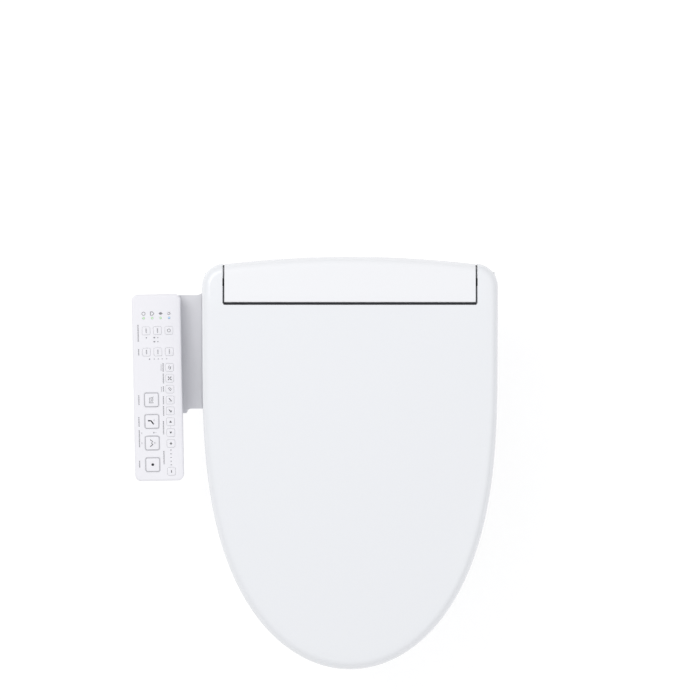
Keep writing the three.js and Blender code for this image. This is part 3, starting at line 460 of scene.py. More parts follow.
def loop_edges(start, count, closed=True):
    """Edges along a row of `count` points, as pairs of their numbers."""
    last = count if closed else count - 1
    return [(start + i, start + (i + 1) % count) for i in range(last)]


def arc(centre_x, centre_y, radius, start, end, steps):
    """Points along an arc, both ends included; the angles are in degrees."""
    angles = [math.radians(start + (end - start) * step / steps) for step in range(steps + 1)]
    return [(centre_x + radius * math.cos(a), centre_y + radius * math.sin(a)) for a in angles]


def eased_edge(width, depth, steps):
    """Inset and drop along a rounded edge, from the side wall in to the top face."""
    angles = [math.pi / 2 * step / steps for step in range(steps + 1)]
    return [(width * (1 - math.cos(a)), depth * (1 - math.sin(a))) for a in angles]


def flipped(path):
    """The same path on the other side of the middle line, run the other way."""
    return [(-x, y) for x, y in reversed(path)]


def mirrored(inner, outer, sign):
    """A stretch along x, from low to high, on the side that `sign` says."""
    return sorted((sign * inner, sign * outer))


def rounded_rectangle(width, height, radius, x=0.0, y=0.0, inset=0.0, steps=6):
    """Outline with round corners, drawn `inset` inside the size given."""
    points = []
    for side_x, side_y, start in ((1, -1, -90), (1, 1, 0), (-1, 1, 90), (-1, -1, 180)):
        corner_x = x + side_x * (width / 2 - radius)
        corner_y = y + side_y * (height / 2 - radius)
        points += arc(corner_x, corner_y, radius - inset, start, start + 90, steps)
    return points


def at_height(outline, z):
    """A plan outline as points in space."""
    return [Vector((x, y, z)) for x, y in outline]


def circle(x, y, radius, sides=20):
    """Points round a circle, counter-clockwise."""
    return arc(x, y, radius, 0, 360, sides)[:-1]


def turned(x, y, profile, sides=20):
    """A solid round an upright axis, from pairs of radius and height that run upward."""
    return loft([at_height(circle(x, y, radius, sides), z) for radius, z in profile])


# ---- lid

def lid_height(x, y):
    """Height of the lid's top face, which falls to the front and is crowned across."""
    forward = max(0.0, y / FRONT_Y)
    fall = (LID_REAR_TOP - LID_FRONT_TOP) * forward**1.15
    return LID_REAR_TOP - fall - LID_CROWN * forward * (x / HALF_WIDTH) ** 2


def lid_edge_fall(inset):
    """How far the rolled edge lies under the top face, `inset` millimetres from the outline."""
    across = 1 - min(inset, LID_EDGE_RADIUS) / LID_EDGE_RADIUS
    return LID_EDGE_RADIUS * (1 - math.sqrt(1 - across**2))


def spaced(start, end, step):
    """Stations from start to end, about `step` apart, without the two ends."""
    count = max(1, round(abs(end - start) / step))
    return [start + (end - start) * i / count for i in range(1, count)]


def front_curve(inset, steps):
    """Right half of the rounded front, from the tip to the widest point."""
    width = HALF_WIDTH - inset
    length = CURVE_START_Y - FRONT_Y - inset
    points = []
    for step in range(steps + 1):
        angle = math.pi / 2 * (1 - step / steps)
        reach = math.sin(angle) ** (2 / FRONT_POWER)
        points.append((width * math.cos(angle), CURVE_START_Y - length * reach))
    return points


def lid_half_outline(inset):
    """Right half of the outline, from the front tip round to the notch."""
    width = HALF_WIDTH - inset
    corner = REAR_CORNER - inset
    centre_x = width - corner
    slope = math.asin(centre_x / REAR_RADIUS)
    touch_x = centre_x + corner * math.sin(slope)
    centre_y = REAR_Y - inset - touch_x**2 / (2 * REAR_RADIUS) - corner * math.cos(slope)
    half = front_curve(inset, 56)
    half.extend((width, y) for y in spaced(CURVE_START_Y, centre_y, 5))
    last = math.acos((NOTCH_HALF - centre_x) / corner)
    angles = [last * step / 14 for step in range(15)]
    if inset == 0:
        angles.append(math.acos((WING_SKIRT_X - centre_x) / corner))
    for angle in sorted(angles):
        half.append((centre_x + corner * math.cos(angle), centre_y + corner * math.sin(angle)))
    return half


def lid_outline(inset):
    """From the left end of the notch round the front to its right end."""
    half = lid_half_outline(inset)
    return flipped(half[1:]) + half


def notch_front_y():
    """Where the notch's front edge meets the lid's top: both lie on a cylinder round the hinge line."""
    y = 0.0
    for _ in range(20):
        y = HINGE_Y - math.sqrt(NOTCH_RADIUS**2 - (lid_height(0, y) - HINGE_Z) ** 2)
    return y


def notch_path(rear_y):
    """From the right end of the notch, forward, across and back to its left end."""
    front_y = notch_front_y()
    corner_x, corner_y = NOTCH_HALF - NOTCH_CORNER, front_y + NOTCH_CORNER
    right = [(NOTCH_HALF, y) for y in spaced(rear_y, corner_y, 5)]
    right += arc(corner_x, corner_y, NOTCH_CORNER, 0, -90, 6)
    across = [(x, front_y) for x in spaced(corner_x, -corner_x, 6)]
    return right + across + flipped(right)


def lid_crown_points(inner):
    """Points inside the outline, on ever smaller copies of it, that carry the top face's crown."""
    middle_y, clear = -190, 9  # the first points stay this far from the notch
    points = []
    for share in [0.97, 0.94, 0.9, 0.86] + [0.8 - 0.06 * step for step in range(13)]:
        for x, y in inner[:: 1 if share > 0.5 else 3]:
            x, y = x * share, middle_y + (y - middle_y) * share
            if abs(x) > NOTCH_HALF + 3 or y < notch_front_y() - clear:
                points.append((x, y))
    return points


def lid_top_sheet():
    """The lid's outer face in plan, as points in space, triangles and the number in its outer ring."""
    insets = [inset for inset, _ in eased_edge(LID_EDGE_RADIUS, 0, 8)]
    spots, heights, edges = [], [], []
    for inset in insets:
        ring = lid_outline(inset)
        edges += loop_edges(len(spots), len(ring), closed=False)
        spots += ring
        heights += [lid_height(x, y) - lid_edge_fall(inset) for x, y in ring]
    outer_count = len(lid_outline(0))
    inner = lid_outline(LID_EDGE_RADIUS)
    path = notch_path(inner[-1][1])
    right_ends = [lid_outline(inset)[-1] for inset in insets[1:]]
    region = spots[:outer_count] + right_ends + path + flipped(right_ends)
    first = len(spots) - len(inner)
    start = len(spots)
    edges += loop_edges(start, len(path), closed=False)
    edges += [(start - 1, start), (start + len(path) - 1, first)]
    face = path + lid_crown_points(inner)
    spots += face
    heights += [lid_height(x, y) for x, y in face]
    points = [Vector((x, y, z)) for (x, y), z in zip(spots, heights)]
    return points, triangulate(spots, edges, region), outer_count


def lid_lower_edge(y):
    """Height of the lid's lower edge in the side view: level, then up and round the hinge."""
    radius = NOTCH_RADIUS - 2
    start = math.radians(-115)
    meet_y = HINGE_Y + radius * math.cos(start)
    meet_z = HINGE_Z + radius * math.sin(start)
    curve_start, control_y, control_z = -75, -20, LID_BOTTOM + 4
    if y <= curve_start:
        return LID_BOTTOM
    if y >= meet_y:
        return HINGE_Z - math.sqrt(radius**2 - (y - HINGE_Y) ** 2)
    a = curve_start - 2 * control_y + meet_y
    b = 2 * (control_y - curve_start)
    t = (-b + math.sqrt(b * b - 4 * a * (curve_start - y))) / (2 * a)
    return (1 - t) ** 2 * LID_BOTTOM + 2 * t * (1 - t) * control_z + t * t * meet_z


def add_lid_skirt(points, faces, ring_count):
    """Upright sides of the lid, under its outer ring of points."""
    def below(i, z):
        points.append(Vector((points[i].x, points[i].y, z)))
        return len(points) - 1

    lows = []
    for i in range(ring_count):
        inboard = WING_SKIRT_X - abs(points[i].x) if points[i].y > 0 else -1
        high = below(i, WING_SKIRT_Z) if inboard > -SAME_POINT else None
        low = None if inboard > SAME_POINT else below(i, lid_lower_edge(points[i].y))
        lows.append((high, low))
    for i in range(ring_count - 1):
        j = i + 1
        (high_i, low_i), (high_j, low_j) = lows[i], lows[j]
        if low_i is None or low_j is None:
            faces.append((i, high_i, high_j, j))
            continue
        face = (i, high_i, low_i, low_j, high_j, j)
        faces.append(tuple(corner for corner in face if corner is not None))


def on_notch_cylinder(point, behind):
    """Moves the inner rim of the notch forward, so that it clears the unit when the lid turns."""
    beside = abs(point.x) >= NOTCH_HALF - SAME_POINT
    if beside or abs(point.y - notch_front_y()) >= NOTCH_CORNER + SAME_POINT:
        return behind
    drop = math.sqrt(max(NOTCH_RADIUS**2 - (behind.z - HINGE_Z) ** 2, 0))
    return Vector((behind.x, min(behind.y, HINGE_Y - drop), behind.z))


def rod(x, y, radius, low, high):
    """An upright rod with eased ends."""
    edge = min(0.6, radius / 4)
    eased = radius - edge
    profile = [(eased, low), (radius, low + edge), (radius, high - edge), (eased, high)]
    return turned(x, y, profile, 32)


def build_lid():
    """Thin shell of the lid, with its two hinge bosses and the posts of its bumpers."""
    points, faces, ring_count = lid_top_sheet()
    add_lid_skirt(points, faces, ring_count)
    shell = Mesh()
    shell.add(*thicken(points, faces, LID_WALL, on_notch_cylinder))
    post_top = lid_height(REST_X, REST_Y) - LID_WALL / 2 - 1.5
    for sign in (-1, 1):
        ends = mirrored(LID_BOSS_INNER, HALF_WIDTH - 3, sign)
        upright, rod_faces = rod(HINGE_Y, HINGE_Z, LID_BOSS_RADIUS, *ends)
        shell.add([(z, x, y) for x, y, z in upright], rod_faces)
        shell.add(*rod(sign * REST_X, REST_Y, REST_RADIUS, REST_TOP, post_top))
    piece = shell.piece("lid", [lid_white], "lid", "lid_white", ["lid_shell"])
    round_edges(piece, 0.7)


# ---- seat

def rear_share(y):
    """How far back a station on the seat lies, 0 at the front tip and 1 at the rear edge."""
    return min(max((y - FRONT_Y) / (SEAT_REAR - FRONT_Y), 0), 1) ** 2


def seat_height(y, across):
    """Height of the seat's top, `across` of the way from its outer edge to the hole."""
    rise = SEAT_REAR_RISE * rear_share(y)
    rim = SEAT_RIM + rise - 4 * across
    crest = SEAT_CREST + rise
    return rim + (crest - rim) * math.sqrt(max(0, 1 - abs(2 * across - 1) ** 3))


def seat_outline():
    """The seat's outer edge, counter-clockwise from the front tip."""
    width = HALF_WIDTH - SEAT_INSET
    centre_x, centre_y = width - SEAT_CORNER, SEAT_REAR - SEAT_CORNER
    half = front_curve(SEAT_INSET, 48)
    half.extend((width, y) for y in spaced(CURVE_START_Y, centre_y, 8))
    half.extend(arc(centre_x, centre_y, SEAT_CORNER, 0, 90, 8))
    half.extend((x, SEAT_REAR) for x in spaced(centre_x, 0, 8))
    return half + [(0, SEAT_REAR)] + flipped(half[1:])


def hole_point(x, y):
    """The point on the hole's edge that lies between the hole's centre and (x, y)."""
    dx = x / HOLE_HALF_WIDTH
    dy = (y - HOLE_CENTRE_Y) / HOLE_HALF_LENGTH
    size = (abs(dx) ** HOLE_POWER + abs(dy) ** HOLE_POWER) ** (1 / HOLE_POWER)
    return x / size, HOLE_CENTRE_Y + (y - HOLE_CENTRE_Y) / size


def seat_ring(across, height):
    """Ring of points `across` of the way in, at a fixed height or at height(y)."""
    ring = []
    for x, y in seat_outline():
        hole_x, hole_y = hole_point(x, y)
        px, py = x + (hole_x - x) * across, y + (hole_y - y) * across
        ring.append(Vector((px, py, height(py) if callable(height) else height)))
    return ring


def seat_sheet(across_steps):
    """Upper face of the seat, from its outer lower edge over the crest to the edge of the hole."""
    rings = [seat_ring(0, SEAT_SPLIT), seat_ring(0, SEAT_SPLIT + 3)]
    for step in range(across_steps + 1):
        across = (1 - math.cos(math.pi * step / across_steps)) / 2
        rings.append(seat_ring(across, lambda y, share=across: seat_height(y, share)))
    rings.append(seat_ring(1, SEAT_SPLIT))
    return loft(rings, caps=False)


def nose_roof(y):
    """Height of the roof over the nozzle, which slopes with it."""
    nozzle_room, roof_wall = 7, 4
    rise = (y - NOZZLE_TIP_Y) * math.tan(NOZZLE_SLOPE)
    return NOZZLE_TIP_Z + rise + nozzle_room / math.cos(NOZZLE_SLOPE) + roof_wall


def side_view_solid(profile, start, end):
    """Solid with one side view, given as (y, z) points, between two stations along x."""
    return loft([[Vector((x, y, z)) for y, z in profile] for x in (start, end)])


def nose_channel(spare, side):
    """The channel under the rear of the seat that clears the nose of the rear unit."""
    half = NOSE_HALF + side
    low = nose_roof(NOSE_FRONT) + spare
    profile = [(-135, -20), (1, -20), (1, nose_roof(1) + spare), (NOSE_FRONT, low), (-135, low)]
    return side_view_solid(profile, -half, half)


def seat_arm(sign):
    """One of the two arms that carry the seat on the hinge line."""
    eye = arc(HINGE_Y, HINGE_Z, SEAT_ARM_RADIUS, -50, 135, 24)
    profile = [(-62, 26), (-24, 32)] + eye + [(-62, 46)]
    return side_view_solid(profile, *mirrored(SEAT_ARM_INNER, SEAT_ARM_OUTER, sign))


def loose_solid(points, faces):
    """A helper object for a boolean, which isn't a piece."""
    mesh = bpy.data.meshes.new("solid")
    mesh.from_pydata([point * MM for point in points], [], faces)
    shape = bmesh.new()
    shape.from_mesh(mesh)
    bmesh.ops.recalc_face_normals(shape, faces=shape.faces)
    shape.to_mesh(mesh)
    shape.free()
    return new_object("solid", mesh)


def combine(base, operation, tool):
    """Applies a boolean to `base` and throws the tool away."""
    modifier = base.modifiers.new("combine", "BOOLEAN")
    modifier.operation = operation
    modifier.solver = "MANIFOLD"
    modifier.object = tool
    view = bpy.context.evaluated_depsgraph_get()
    result = bpy.data.meshes.new_from_object(base.evaluated_get(view))
    base.modifiers.clear()
    base.data = result
    bpy.data.objects.remove(tool)


def finish_solid(solid, name, material, body, replaced):
    """Turns a boolean's result into a piece, smooth apart from its sharp edges."""
    solid.name = name
    solid.data.materials.clear()
    solid.data.materials.append(material)
    solid.data.polygons.foreach_set("material_index", [0] * len(solid.data.polygons))
    solid.data.shade_smooth()
    solid.data.set_sharp_from_angle(angle=math.radians(35))
    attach(solid, body)
    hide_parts(*replaced)


def build_seat_top():
    """Upper shell of the seat, with its hinge arms and a lined channel that clears the nose."""
    shell = loose_solid(*thicken(*seat_sheet(30), SEAT_WALL))
    liner = loose_solid(*nose_channel(5, 7))
    solid_points, solid_faces = seat_sheet(16)
    count = len(seat_outline())
    last = len(solid_points) - count
    for i in range(count):
        j = (i + 1) % count
        solid_faces.append((last + i, last + j, j, i))
    combine(liner, "INTERSECT", loose_solid(solid_points, solid_faces))
    combine(shell, "UNION", liner)
    for sign in (-1, 1):
        combine(shell, "UNION", loose_solid(*seat_arm(sign)))
    combine(shell, "DIFFERENCE", loose_solid(*nose_channel(2, 4)))
    finish_solid(shell, "seat_upper_shell", seat_white, "seat", ["seat_top_shell"])


def build_seat_bottom():
    """Flat lower shell of the seat, with its two lower edges rounded."""
    edge = eased_edge(0.03, 2.5, 5)
    outer = [seat_ring(inset, SEAT_BOTTOM + drop) for inset, drop in reversed(edge)]
    top = [seat_ring(across, SEAT_SPLIT - GAP) for across in (0, 1)]
    inner = [seat_ring(1 - inset, SEAT_BOTTOM + drop) for inset, drop in edge]
    base = loose_solid(*loft(outer + top + inner, caps=False, looped=True))
    combine(base, "DIFFERENCE", loose_solid(*nose_channel(2, 4)))
    finish_solid(base, "seat_base", seat_white, "seat", ["seat_bottom_shell"])


# ---- top cover

def unit_rear(x):
    """Where the unit's bowed rear face lies."""
    return BODY_REAR - x * x / (2 * REAR_RADIUS)


def cover_section(x):
    """Side view of the cover at one station, from its front lower edge over the top to the rear."""
    bottom = SPLIT_Z + GAP
    height = UNIT_TOP - bottom
    rear = unit_rear(x)
    top_start, top_end = COVER_FRONT + COVER_FRONT_RADIUS, rear - COVER_REAR_RADIUS
    section = [(COVER_FRONT, bottom + height * share) for share in (0, 0.5, 0.9)]
    section += arc(top_start, UNIT_TOP - COVER_FRONT_RADIUS, COVER_FRONT_RADIUS, 180, 90, 5)
    section += [(top_start + (top_end - top_start) * step / 5, UNIT_TOP) for step in range(1, 5)]
    section += arc(top_end, UNIT_TOP - COVER_REAR_RADIUS, COVER_REAR_RADIUS, 90, 0, 12)
    return section + [(rear, bottom + height * share) for share in (0.6, 0.3, 0)]


def build_cover():
    """Top cover of the rear unit: one side view, swept along x and closed at both ends."""
    stations = [-COVER_HALF] + spaced(-COVER_HALF, COVER_HALF, 7) + [COVER_HALF]
    count = len(cover_section(0))
    points = [Vector((x, y, z)) for x in stations for y, z in cover_section(x)]
    faces = []
    for row in range(len(stations) - 1):
        low, high = row * count, (row + 1) * count
        for i in range(count - 1):
            faces.append((low + i, high + i, high + i + 1, low + i + 1))
    faces.append(tuple(range(count)))
    faces.append(tuple(reversed(range(len(points) - count, len(points)))))
    cover = Mesh()
    cover.add(*thicken(points, faces, COVER_WALL))
    piece = cover.piece("unit_cover", [unit_white], "main_unit", "unit_white", ["top_cover"])
    round_edges(piece, 1.0)


def build_gap_shade_strip():
    """Painted shade: a dark strip in the gap between the top cover and the lid, on three sides, that
    stands for the deep shadow there.
    """
    front, half = COVER_FRONT - 4, COVER_HALF + 1.7
    rear = unit_rear(half) - 0.8
    right = [(half, rear)] + arc(half - GAP_SHADE_CORNER, front + GAP_SHADE_CORNER, GAP_SHADE_CORNER, 0, -90, 5)
    clearance = 0.05
    inner = [(COVER_HALF + clearance, rear), (COVER_HALF + clearance, COVER_FRONT - clearance)]
    outline = flipped(right[::-1]) + right[::-1] + inner + flipped(inner)
    top = triangulate(outline, loop_edges(0, len(outline)), outline)
    strip = Mesh()
    strip.add(at_height(outline, GAP_SHADE_HIGH), top)
    strip.add(at_height(outline, GAP_SHADE_LOW), [tuple(reversed(triangle)) for triangle in top])
    strip.add(*loft([at_height(outline, GAP_SHADE_LOW), at_height(outline, GAP_SHADE_HIGH)], caps=False))
    weld(strip.piece("gap_shade_strip", [dark_plastic], "main_unit", "dark_plastic"))


def build_bolt(name, x):
    """Hexagon-headed bolt through the base plate, with a chamfered head."""
    bottom, ease, chamfer = PLATE_THICKNESS + GAP, 0.4, 1.1
    head = [
        (BOLT_HEAD_RADIUS - ease, bottom),
        (BOLT_HEAD_RADIUS, bottom + ease),
        (BOLT_HEAD_RADIUS, BOLT_HEAD_TOP - chamfer),
        (BOLT_HEAD_RADIUS - chamfer, BOLT_HEAD_TOP),
    ]
    bolt = Mesh()
    bolt.add(*turned(x, 0, head, 6))
    bolt.add(*turned(x, 0, [(BOLT_RADIUS, 0.5), (BOLT_RADIUS, bottom + 0.5)], 24))
    piece = bolt.piece(name, [steel], "main_unit", "steel", [f"mounting_{name}"])
    round_edges(piece, 0.25, 2)


# ---- control panel

def button_layout():
    """Name, centre and size of every button, in the panel's own frame."""
    buttons = []
    for row, name in enumerate(["dry", "front_wash", "rear_wash", "stop"]):
        buttons.append((name, LARGE_X, LARGE_FIRST_Y + LARGE_STEP * row, LARGE_BUTTON))
    for y, names in (
        (TIMER_ROW_Y, ["energy_saver", "energy_timer", "power"]),
        (TEMPERATURE_ROW_Y, ["water_temperature", "seat_temperature", "air_temperature"]),
    ):
        for place, name in enumerate(names):
            buttons.append((name, ROW_FIRST_X + ROW_STEP * place, y, SMALL_BUTTON))
    column = [
        "night_light", "auto_lid", "nozzle_clean", "pulse", "oscillate", "nozzle_forward",
        "nozzle_back", "pressure_up",
    ]
    for row, name in enumerate(column):
        buttons.append((name, COLUMN_X, COLUMN_FIRST_Y + COLUMN_STEP * row, SMALL_BUTTON))
    buttons.append(("pressure_down", COLUMN_X, PRESSURE_DOWN_Y, SMALL_BUTTON))
    return buttons


class Marks(Mesh):
    """Printed marks: flat closed shapes that stand a hair's breadth proud of a surface."""

    def __init__(self, surface=0.0):
        super().__init__()
        self.low = surface - 0.06
        self.high = surface + 0.05

    def area(self, outline, ink):
        self.add(*loft([at_height(outline, self.low), at_height(outline, self.high)]), ink)

    def dot(self, x, y, radius, ink):
        self.area(circle(x, y, radius), ink)

    def line(self, path, width, ink):
        """A stroke of even width along a path of points."""
        left, right = [], []
        for i, (x, y) in enumerate(path):
            before, after = path[max(i - 1, 0)], path[min(i + 1, len(path) - 1)]
            along = (Vector(after) - Vector(before)).normalized()
            side = Vector((-along.y, along.x)) * width / 2
            left.append((x + side.x, y + side.y))
            right.append((x - side.x, y - side.y))
        count = len(path)
        points = [Vector((x, y, z)) for z in (self.low, self.high) for x, y in left + right]
        faces = [(0, 2 * count, 3 * count, count)]
        faces.append((count - 1, 2 * count - 1, 4 * count - 1, 3 * count - 1))
        for i in range(count - 1):
            faces.append((i, count + i, count + i + 1, i + 1))
            faces.append((2 * count + i, 2 * count + i + 1, 3 * count + i + 1, 3 * count + i))
            faces.append((i, i + 1, 2 * count + i + 1, 2 * count + i))
            faces.append((count + i, 3 * count + i, 3 * count + i + 1, count + i + 1))
        self.add(points, faces, ink)

    def band(self, outer, inner, ink):
        """A band between two outlines with the same number of points."""
        rings = [
            at_height(outer, self.low), at_height(outer, self.high),
            at_height(inner, self.high), at_height(inner, self.low),
        ]
        self.add(*loft(rings, caps=False, looped=True), ink)

    def ring(self, x, y, radius, width, ink):
        self.band(circle(x, y, radius, 28), circle(x, y, radius - width, 28), ink)

    def micro_label(self, x, start, end, ink, height=1.5):
        """A row of small blocks along the panel, which stands for a printed caption."""
        y = start
        for number, length in enumerate(itertools.cycle([0.95, 0.6, 0.8, 0.45, 0.9, 0.7])):
            if y - length <= end:
                break
            low, high = x - height / 2, x + height / 2
            if number % 3 == 1:
                low += 0.18
            self.area([(low, y - length), (high, y - length), (high, y), (low, y)], ink)
            y -= length + 0.42


DARK, GREY, PALE = 1, 2, 3  # ink material slots on a marked piece
INKS = [ink_dark, ink_grey, ink_pale]


def wave(x, y, length, swing, slope=0.0):
    """A wavy path up the panel."""
    shares = [step / 12 for step in range(13)]
    return [
        (x + swing * math.sin(share * 2 * math.pi) + slope * share, y + length * (share - 0.5))
        for share in shares
    ]


def strokes(*lines):
    """A symbol made of lines alone, each with its path, its width and its ink."""
    return lambda marks: [marks.line(*line) for line in lines]


def draw_crossed_bars(marks):
    for turn in range(4):
        angle = math.radians(45 + 90 * turn)
        x, y = math.cos(angle), math.sin(angle)
        marks.line([(0.5 * x, 0.5 * y), (2.1 * x, 2.1 * y)], 0.75, DARK)
        marks.dot(2.4 * x, 2.4 * y, 0.65, DARK)


def draw_arrow(marks, way=1):
    marks.area([(-1.6 * way, -1.2 * way), (1.6 * way, -1.2 * way), (0, 1.6 * way)], DARK)


def draw_plus(marks):
    marks.area(rounded_rectangle(3.2, 1, 0.1), DARK)
    for y in (-1.1, 1.1):
        marks.area(rounded_rectangle(1, 1.2, 0.1, 0, y), DARK)


def draw_caption(marks):
    marks.micro_label(0, 2.9, -3, GREY)


# What is printed on each key; the keys that are not listed have a caption
BUTTON_ART = {
    "dry": strokes(
        *[(wave(x - 0.6, 0.6 + x / 4, 6.2, 0.6, 1.6), 0.75, GREY) for x in (-2.6, -0.6, 1.4)],
        ([(-3.2, -3.9), (2.6, -3.9)], 0.8, GREY),
    ),
    "front_wash": strokes(
        ([(-5, 1), (-1, 0.8), (0.4, -1.2), (2.2, -3.8)], 1.7, DARK),
        *[([(x, y), (x + 1.2, y + 0.8)], 0.45, PALE) for x, y in ((1.8, 0.8), (2.8, 0.4), (2.4, 2))],
    ),
    "rear_wash": strokes(
        ([(-2.8, 4.4), (0.8, 1.7), (-1.4, 0), (0.8, -1.9), (-2.8, -4.6)], 0.95, DARK),
        *[([(2.2, y), (5 - abs(y), y)], 0.45, PALE) for y in (1, 0, -1)],
    ),
    "stop": lambda marks: marks.dot(0, 0, 1.8, DARK),
    "power": lambda marks: marks.ring(0, 0, 2.3, 0.7, GREY),
    "night_light": strokes(
        (wave(-1.8, 0.6, 3.6, 0.5, 2), 0.75, GREY), (wave(0, -0.8, 3.6, 0.5, 2), 0.75, DARK)
    ),
    "auto_lid": draw_crossed_bars,
    "nozzle_clean": strokes(
        ([(-2.4, 0.4), (-0.8, 2), (0.8, 1.2), (2.2, -0.6)], 0.75, GREY),
        ([(-0.8, -0.2), (1.0, -2)], 0.75, DARK),
    ),
    "pulse": strokes(
        ([(-1.4, 2.2), (1.8, -1.6)], 0.95, DARK), ([(-2.2, -2.2), (1.4, -2.2)], 0.4, PALE)
    ),
    "oscillate": strokes(
        ([(-2, 1.8), (1.6, -1.6)], 0.9, DARK), ([(-0.6, -1.8), (2.2, 0.6)], 0.8, GREY)
    ),
    "nozzle_forward": draw_arrow,
    "nozzle_back": lambda marks: draw_arrow(marks, -1),
    "pressure_up": draw_plus,
    "pressure_down": lambda marks: marks.area(rounded_rectangle(1, 3.4, 0.1), DARK),
}


def build_button(name, x, y, size):
    """A key cap with its rounded top edge, its outline and its symbol."""
    marks = Marks(BUTTON_PROUD)
    rings = [at_height(rounded_rectangle(*size), BUTTON_BOTTOM)]
    for inset, drop in eased_edge(BUTTON_EASE, BUTTON_EASE, 4):
        rings.append(at_height(rounded_rectangle(*size, inset=inset), BUTTON_PROUD - drop))
    marks.add(*loft(rings))
    if size == LARGE_BUTTON:
        outer, inner = [rounded_rectangle(*size, inset=inset) for inset in (0.45, 1.3)]
        marks.band(outer, inner, PALE)
    BUTTON_ART.get(name, draw_caption)(marks)
    marks.moved(PANEL_FRAME @ Matrix.Translation((x, y, 0)))
    marks.piece(
        f"key_cap_{name}", [button_white] + INKS, f"key_{name}", "button_white", [f"button_{name}"]
    )


def panel_ring(inset, z):
    """The panel's outline at one height, drawn in by `inset`."""
    plan = rounded_rectangle(PANEL_WIDTH, PANEL_LENGTH, PANEL_CORNER, inset=inset, steps=10)
    return at_height(plan, z)


def build_panel_face():
    """Face plate of the panel, with an eased outer edge and a slot for each button and lamp."""
    side_rings = [panel_ring(0, -FACE_THICKNESS)]
    side_rings += [panel_ring(inset, -drop) for inset, drop in eased_edge(3.0, 1.8, 6)]
    slots = [rounded_rectangle(*size, x, y, -KEY_PLAY) for _, x, y, size in button_layout()]
    slots += [circle(x, STATUS_Y, LAMP_SLOT_RADIUS) for x in STATUS_X]
    face = Mesh()
    face.add(*loft(side_rings, caps=False))
    for level, ring in ((0, side_rings[-1]), (-FACE_THICKNESS, side_rings[0])):
        outer = [(point.x, point.y) for point in ring]
        spots, edges = list(outer), loop_edges(0, len(outer))
        for slot in slots:
            edges += loop_edges(len(spots), len(slot))
            spots += slot
        triangles = triangulate(spots, edges, outer, slots)
        if level < 0:
            triangles = [tuple(reversed(triangle)) for triangle in triangles]
        face.add(at_height(spots, level), triangles)
    for slot in slots:
        face.add(*loft([at_height(slot, 0), at_height(slot, -FACE_THICKNESS)], caps=False))
    face.moved(PANEL_FRAME)
    piece = face.piece("panel_fascia", [panel_white], "main_unit", "panel_white", ["panel_face"])
    weld(piece)
    round_edges(piece, 0.18, 2, 50)


def build_panel_case():
    """Open tray under the face plate, with a rounded lower edge."""
    edge = reversed(eased_edge(3.5, 3.5, 6))
    rings = [panel_ring(inset, PANEL_BOTTOM + drop) for inset, drop in edge]
    rings.append(panel_ring(0, -FACE_THICKNESS - GAP))
    points, faces = loft(rings, caps=False)
    faces.append(tuple(reversed(range(len(rings[0])))))
    case = Mesh()
    case.add(*thicken(points, faces, 2.5))
    case.moved(PANEL_FRAME)
    piece = case.piece("panel_tray", [panel_white], "main_unit", "panel_white", ["panel_case"])
    round_edges(piece, 0.4)


def draw_status_symbols(marks):
    """A ring, a shield, a drop and two waves over the four lamps."""
    def placed(x, path):
        return [(x + across, SYMBOL_Y + along) for across, along in path]

    ring_x, shield_x, drop_x, wave_x = STATUS_X
    shield = [(-2, 2.3), (-2, -2.3), (0.4, -2.2), (2.6, 0), (0.4, 2.2), (-2, 2.3)]
    drop = [(2.9, 0), (0.4, 1.7), (-1.6, 1.1), (-2.5, 0), (-1.6, -1.1), (0.4, -1.7)]
    marks.ring(ring_x, SYMBOL_Y, 2.5, 0.75, GREY)
    marks.line(placed(shield_x, shield), 1, GREY)
    marks.area(placed(drop_x, drop), GREY)
    marks.line(placed(wave_x, [(-2.4, -0.6), (-0.6, -1.8), (2, -0.4)]), 0.9, GREY)
    marks.line(placed(wave_x, [(-1.6, 1.6), (0, 0.4), (1.4, 1.6)]), 0.9, GREY)


def draw_captions(marks):
    """Captions by the keys: place across the panel, then from where to where along it."""
    for x, start, end in (
        (-24, 82, 59.5), (-23.8, 50.4, 41.6), (-24.8, -9.6, -22.8), (-25.2, -37.8, -51.2),
        (-25.1, -55, -77), (-25.5, -94.5, -104.4), (7.5, 31.5, 20), (7.5, 18, 5.2), (7.4, 1.5, -6.3),
        (7.1, -11.4, -22), (7, -24.2, -36.8), (6.5, -43.6, -61), (6.3, -82.4, -100),
    ):
        marks.micro_label(x, start, end, GREY)
    for x, start, end in (
        (4.9, 30, 21.5), (4.8, 1, -5.8), (-21.9, -57.8, -60.3), (-21.9, -70.8, -73.3),
    ):
        marks.micro_label(x, start, end, PALE, 1.1)


def draw_scale_dots(marks):
    """The dots that show a timer, a temperature or a pressure level, and the ticks by the keys."""
    timer_y, timer_step, temperature_y = 65, -5.2, 37.3
    marks.dot(ROW_FIRST_X + 0.2, timer_y, 0.8, GREY)
    for y in (timer_y, timer_y + timer_step):
        marks.area(rounded_rectangle(2.4, 1.6, 0.5, -3.1, y), GREY)
        marks.dot(1.4, y, 0.7, GREY)
    marks.dot(-9.8, temperature_y, 0.85, GREY)
    for x in (-3.7, 1.5, 6.5, 12.4):
        marks.dot(x, temperature_y, 0.75, PALE)
    for step in range(5):
        marks.dot(COLUMN_X - 0.3, -81.3 - 4.8 * step, 0.75, GREY)
    marks.line([(COLUMN_X, -50.3), (COLUMN_X, -52.8)], 0.3, PALE)
    between_washes = -58.3
    marks.dot(-6.2, between_washes, 1, PALE)
    marks.line([(-4.6, between_washes), (-2.6, between_washes)], 0.4, PALE)


def build_panel_marks():
    """Everything printed on the fascia itself: status symbols, captions and scale dots."""
    marks = Marks()
    draw_status_symbols(marks)
    draw_captions(marks)
    draw_scale_dots(marks)
    marks.moved(PANEL_FRAME)
    marks.piece("panel_print", [panel_white] + INKS, "main_unit", "panel_white")


